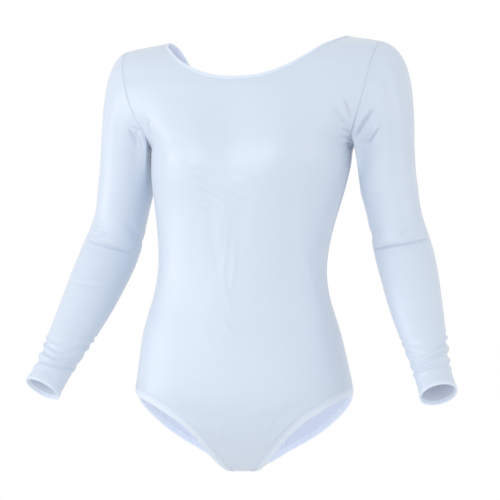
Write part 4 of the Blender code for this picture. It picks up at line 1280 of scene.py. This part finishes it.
def build_garment():
    """Every cut piece and every row of stitches."""
    knit = knit_group()
    shiny = cloth_material(knit, OUTSIDE)
    inside = cloth_material(knit, INSIDE)
    thread = thread_material()
    pieces = {}
    pieces["front"] = build_panel("front_cloth", -1, FRONT_FOLDS, [shiny, inside])
    pieces["back"] = build_panel("back_cloth", 1, BACK_FOLDS, [shiny, inside])
    left_arm = Arm(LEFT_CAP_REACH, ARMHOLES[1])
    right_arm = Arm(RIGHT_CAP_REACH, ARMHOLES[-1])
    left = moved_sheet(sleeve_sheet(left_arm, LEFT_SLEEVE_FOLDS), tilt)
    right = moved_sheet(sleeve_sheet(right_arm, RIGHT_SLEEVE_FOLDS), mirrored, tilt)
    arms = [shiny, cloth_material(knit, SLEEVE_INSIDE)]
    pieces["sleeve_left"] = cloth_piece("sleeve_left_cloth", "sleeve_left", [left], arms)
    pieces["sleeve_right"] = cloth_piece("sleeve_right_cloth", "sleeve_right", [right], arms)
    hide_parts("sleeve_left_forearm")
    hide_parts("sleeve_right_forearm")
    marks = [0, NECK_MIDDLE, NECK_END, 2 * NECK_END - NECK_MIDDLE, 2 * NECK_END]
    neck = moved_sheet(hem_sheet(NECK, marks, NECK_HEM, NECK_STITCH_ROWS), tilt)
    leg = hem_sheet(LEGS, [0, LEG_MIDDLE, LEG_END], LEG_HEM, LEG_STITCH_ROWS)
    cuff = cuff_sheet(left_arm)
    doubled = cloth_material(knit, HEM_OUTSIDE)
    turned = [doubled, cloth_material(knit, HEM_INSIDE)]
    cuffs = [doubled, cloth_material(knit, CUFF_INSIDE)]
    hems = {
        "neck_hem": (neck, NECK_HEM, NECK_STITCH_ROWS),
        "leg_hem_left": (moved_sheet(leg, stand), LEG_HEM, LEG_STITCH_ROWS),
        "leg_hem_right": (moved_sheet(leg, mirrored, stand), LEG_HEM, LEG_STITCH_ROWS),
        "cuff_hem_left": (cuff, CUFF_HEM, CUFF_STITCH_ROWS),
        "cuff_hem_right": (moved_sheet(cuff, mirrored), CUFF_HEM, CUFF_STITCH_ROWS),
    }
    for name, (sheet, width, rows) in hems.items():
        pieces[name] = cloth_piece(name + "_cloth", name, [sheet], cuffs if "cuff" in name else turned)
        lines = edge_lines(sheet, width, rows)
        stitches(name.replace("hem", "hem_stitches"), thread, lines)
    return pieces


# Form of a piece's flat cut in metres, before it is stretched over the figure; no cuts are listed
FlatCut = namedtuple("FlatCut", "piece width length area")


# Round pale studio, as a floor curving up into a wall
STUDIO_FLOOR = -1.10
STUDIO_RADIUS = 9.0
STUDIO_CURVE = 2.5
STUDIO_WALL = 7.0
STUDIO_CURVE_STEPS = 12
STUDIO_TURN_STEPS = 96
STUDIO_JOIN = 1e-4
STUDIO_GLOW = 0.88
STUDIO_SEEN = 1.0


def studio_material():
    """Evenly lit white paper, a little brighter to the camera than to the garment."""
    material = bpy.data.materials.new("studio white")
    material.use_nodes = True
    nodes, links = material.node_tree.nodes, material.node_tree.links
    nodes.remove(nodes["Principled BSDF"])
    glow = nodes.new("ShaderNodeEmission")
    seen = nodes.new("ShaderNodeLightPath")
    amount = nodes.new("ShaderNodeMapRange")
    amount.inputs["To Min"].default_value = STUDIO_GLOW
    amount.inputs["To Max"].default_value = STUDIO_SEEN
    links.new(seen.outputs["Is Camera Ray"], amount.inputs["Value"])
    links.new(amount.outputs["Result"], glow.inputs["Strength"])
    links.new(glow.outputs["Emission"], nodes["Material Output"].inputs["Surface"])
    return material


def build_studio():
    """Pale floor that curves up into a round wall, with no corner to see."""
    bm = bmesh.new()
    profile = [(0.0, STUDIO_FLOOR), (STUDIO_RADIUS - STUDIO_CURVE, STUDIO_FLOOR)]
    for angle in np.linspace(0.0, 0.5 * np.pi, STUDIO_CURVE_STEPS)[1:]:
        across = STUDIO_RADIUS - STUDIO_CURVE * (1.0 - math.sin(angle))
        profile.append((across, STUDIO_FLOOR + STUDIO_CURVE * (1.0 - math.cos(angle))))
    profile.append((STUDIO_RADIUS, STUDIO_WALL))
    verts = [bm.verts.new((across, 0.0, height)) for across, height in profile]
    edges = [bm.edges.new(pair) for pair in zip(verts, verts[1:])]
    bmesh.ops.spin(
        bm,
        geom=verts + edges,
        cent=(0, 0, 0),
        axis=(0, 0, 1),
        angle=2 * math.pi,
        steps=STUDIO_TURN_STEPS,
        use_merge=True,
    )
    bmesh.ops.remove_doubles(bm, verts=bm.verts[:], dist=STUDIO_JOIN)
    mesh = bpy.data.meshes.new("studio")
    bm.to_mesh(mesh)
    bm.free()
    mesh.shade_smooth()
    mesh.materials.append(studio_material())
    studio = bpy.data.objects.new("studio", mesh)
    bpy.context.scene.collection.objects.link(studio)


# Viewpoint of the photograph
VIEW_TURN = math.radians(15.0)
VIEW_CENTRE = Vector((0.0, 0.0, -0.305))
VIEW_SHIFT = 0.00675
VIEW_WIDTH = 0.75
LENS = 200.0
SENSOR = 36.0


def aim(thing, target):
    """Points a camera or light at a place."""
    thing.rotation_mode = "QUATERNION"
    thing.rotation_quaternion = (target - thing.location).to_track_quat("-Z", "Y")


def add_camera():
    """Camera level with the garment, turned as in the photograph."""
    back = Vector((math.sin(VIEW_TURN), -math.cos(VIEW_TURN), 0.0))
    right = Vector((math.cos(VIEW_TURN), math.sin(VIEW_TURN), 0.0))
    data = bpy.data.cameras.new("camera")
    data.lens = LENS
    data.sensor_width = SENSOR
    camera = bpy.data.objects.new("camera", data)
    centre = VIEW_CENTRE - right * VIEW_SHIFT
    camera.location = centre + back * (VIEW_WIDTH * LENS / SENSOR)
    aim(camera, centre)
    bpy.context.scene.collection.objects.link(camera)
    bpy.context.scene.camera = camera
    bpy.context.scene.view_settings.view_transform = "Standard"
    bpy.context.scene.view_settings.look = "None"


# Soft lights, placed by turn and height round the garment
Lamp = namedtuple("Lamp", "name turn_degrees rise distance size power")
LAMPS = [
    Lamp("key", -26.0, 0.15, 2.8, 0.8, 10.0),
    Lamp("left", -70.0, -0.20, 2.8, 1.0, 11.5),
    Lamp("front", 12.0, -0.35, 3.2, 1.2, 6.0),
    Lamp("side", 75.0, 0.10, 3.0, 1.2, 5.0),
]


def add_lights():
    """Soft studio lights round the garment."""
    for lamp in LAMPS:
        turn = math.radians(lamp.turn_degrees)
        data = bpy.data.lights.new(lamp.name, "AREA")
        data.shape = "DISK"
        data.size = lamp.size
        data.energy = lamp.power
        light = bpy.data.objects.new(lamp.name, data)
        across, towards = math.sin(turn) * lamp.distance, math.cos(turn) * lamp.distance
        light.location = Vector((across, -towards, lamp.rise))
        light.visible_camera = False
        aim(light, VIEW_CENTRE)
        bpy.context.scene.collection.objects.link(light)
    world = bpy.data.worlds.new("studio air")
    world.use_nodes = True
    world.node_tree.nodes["Background"].inputs["Color"].default_value = (1.0, 1.0, 1.0, 1.0)
    world.node_tree.nodes["Background"].inputs["Strength"].default_value = STUDIO_GLOW
    bpy.context.scene.world = world


add_camera()
build_garment()
build_studio()
add_lights()
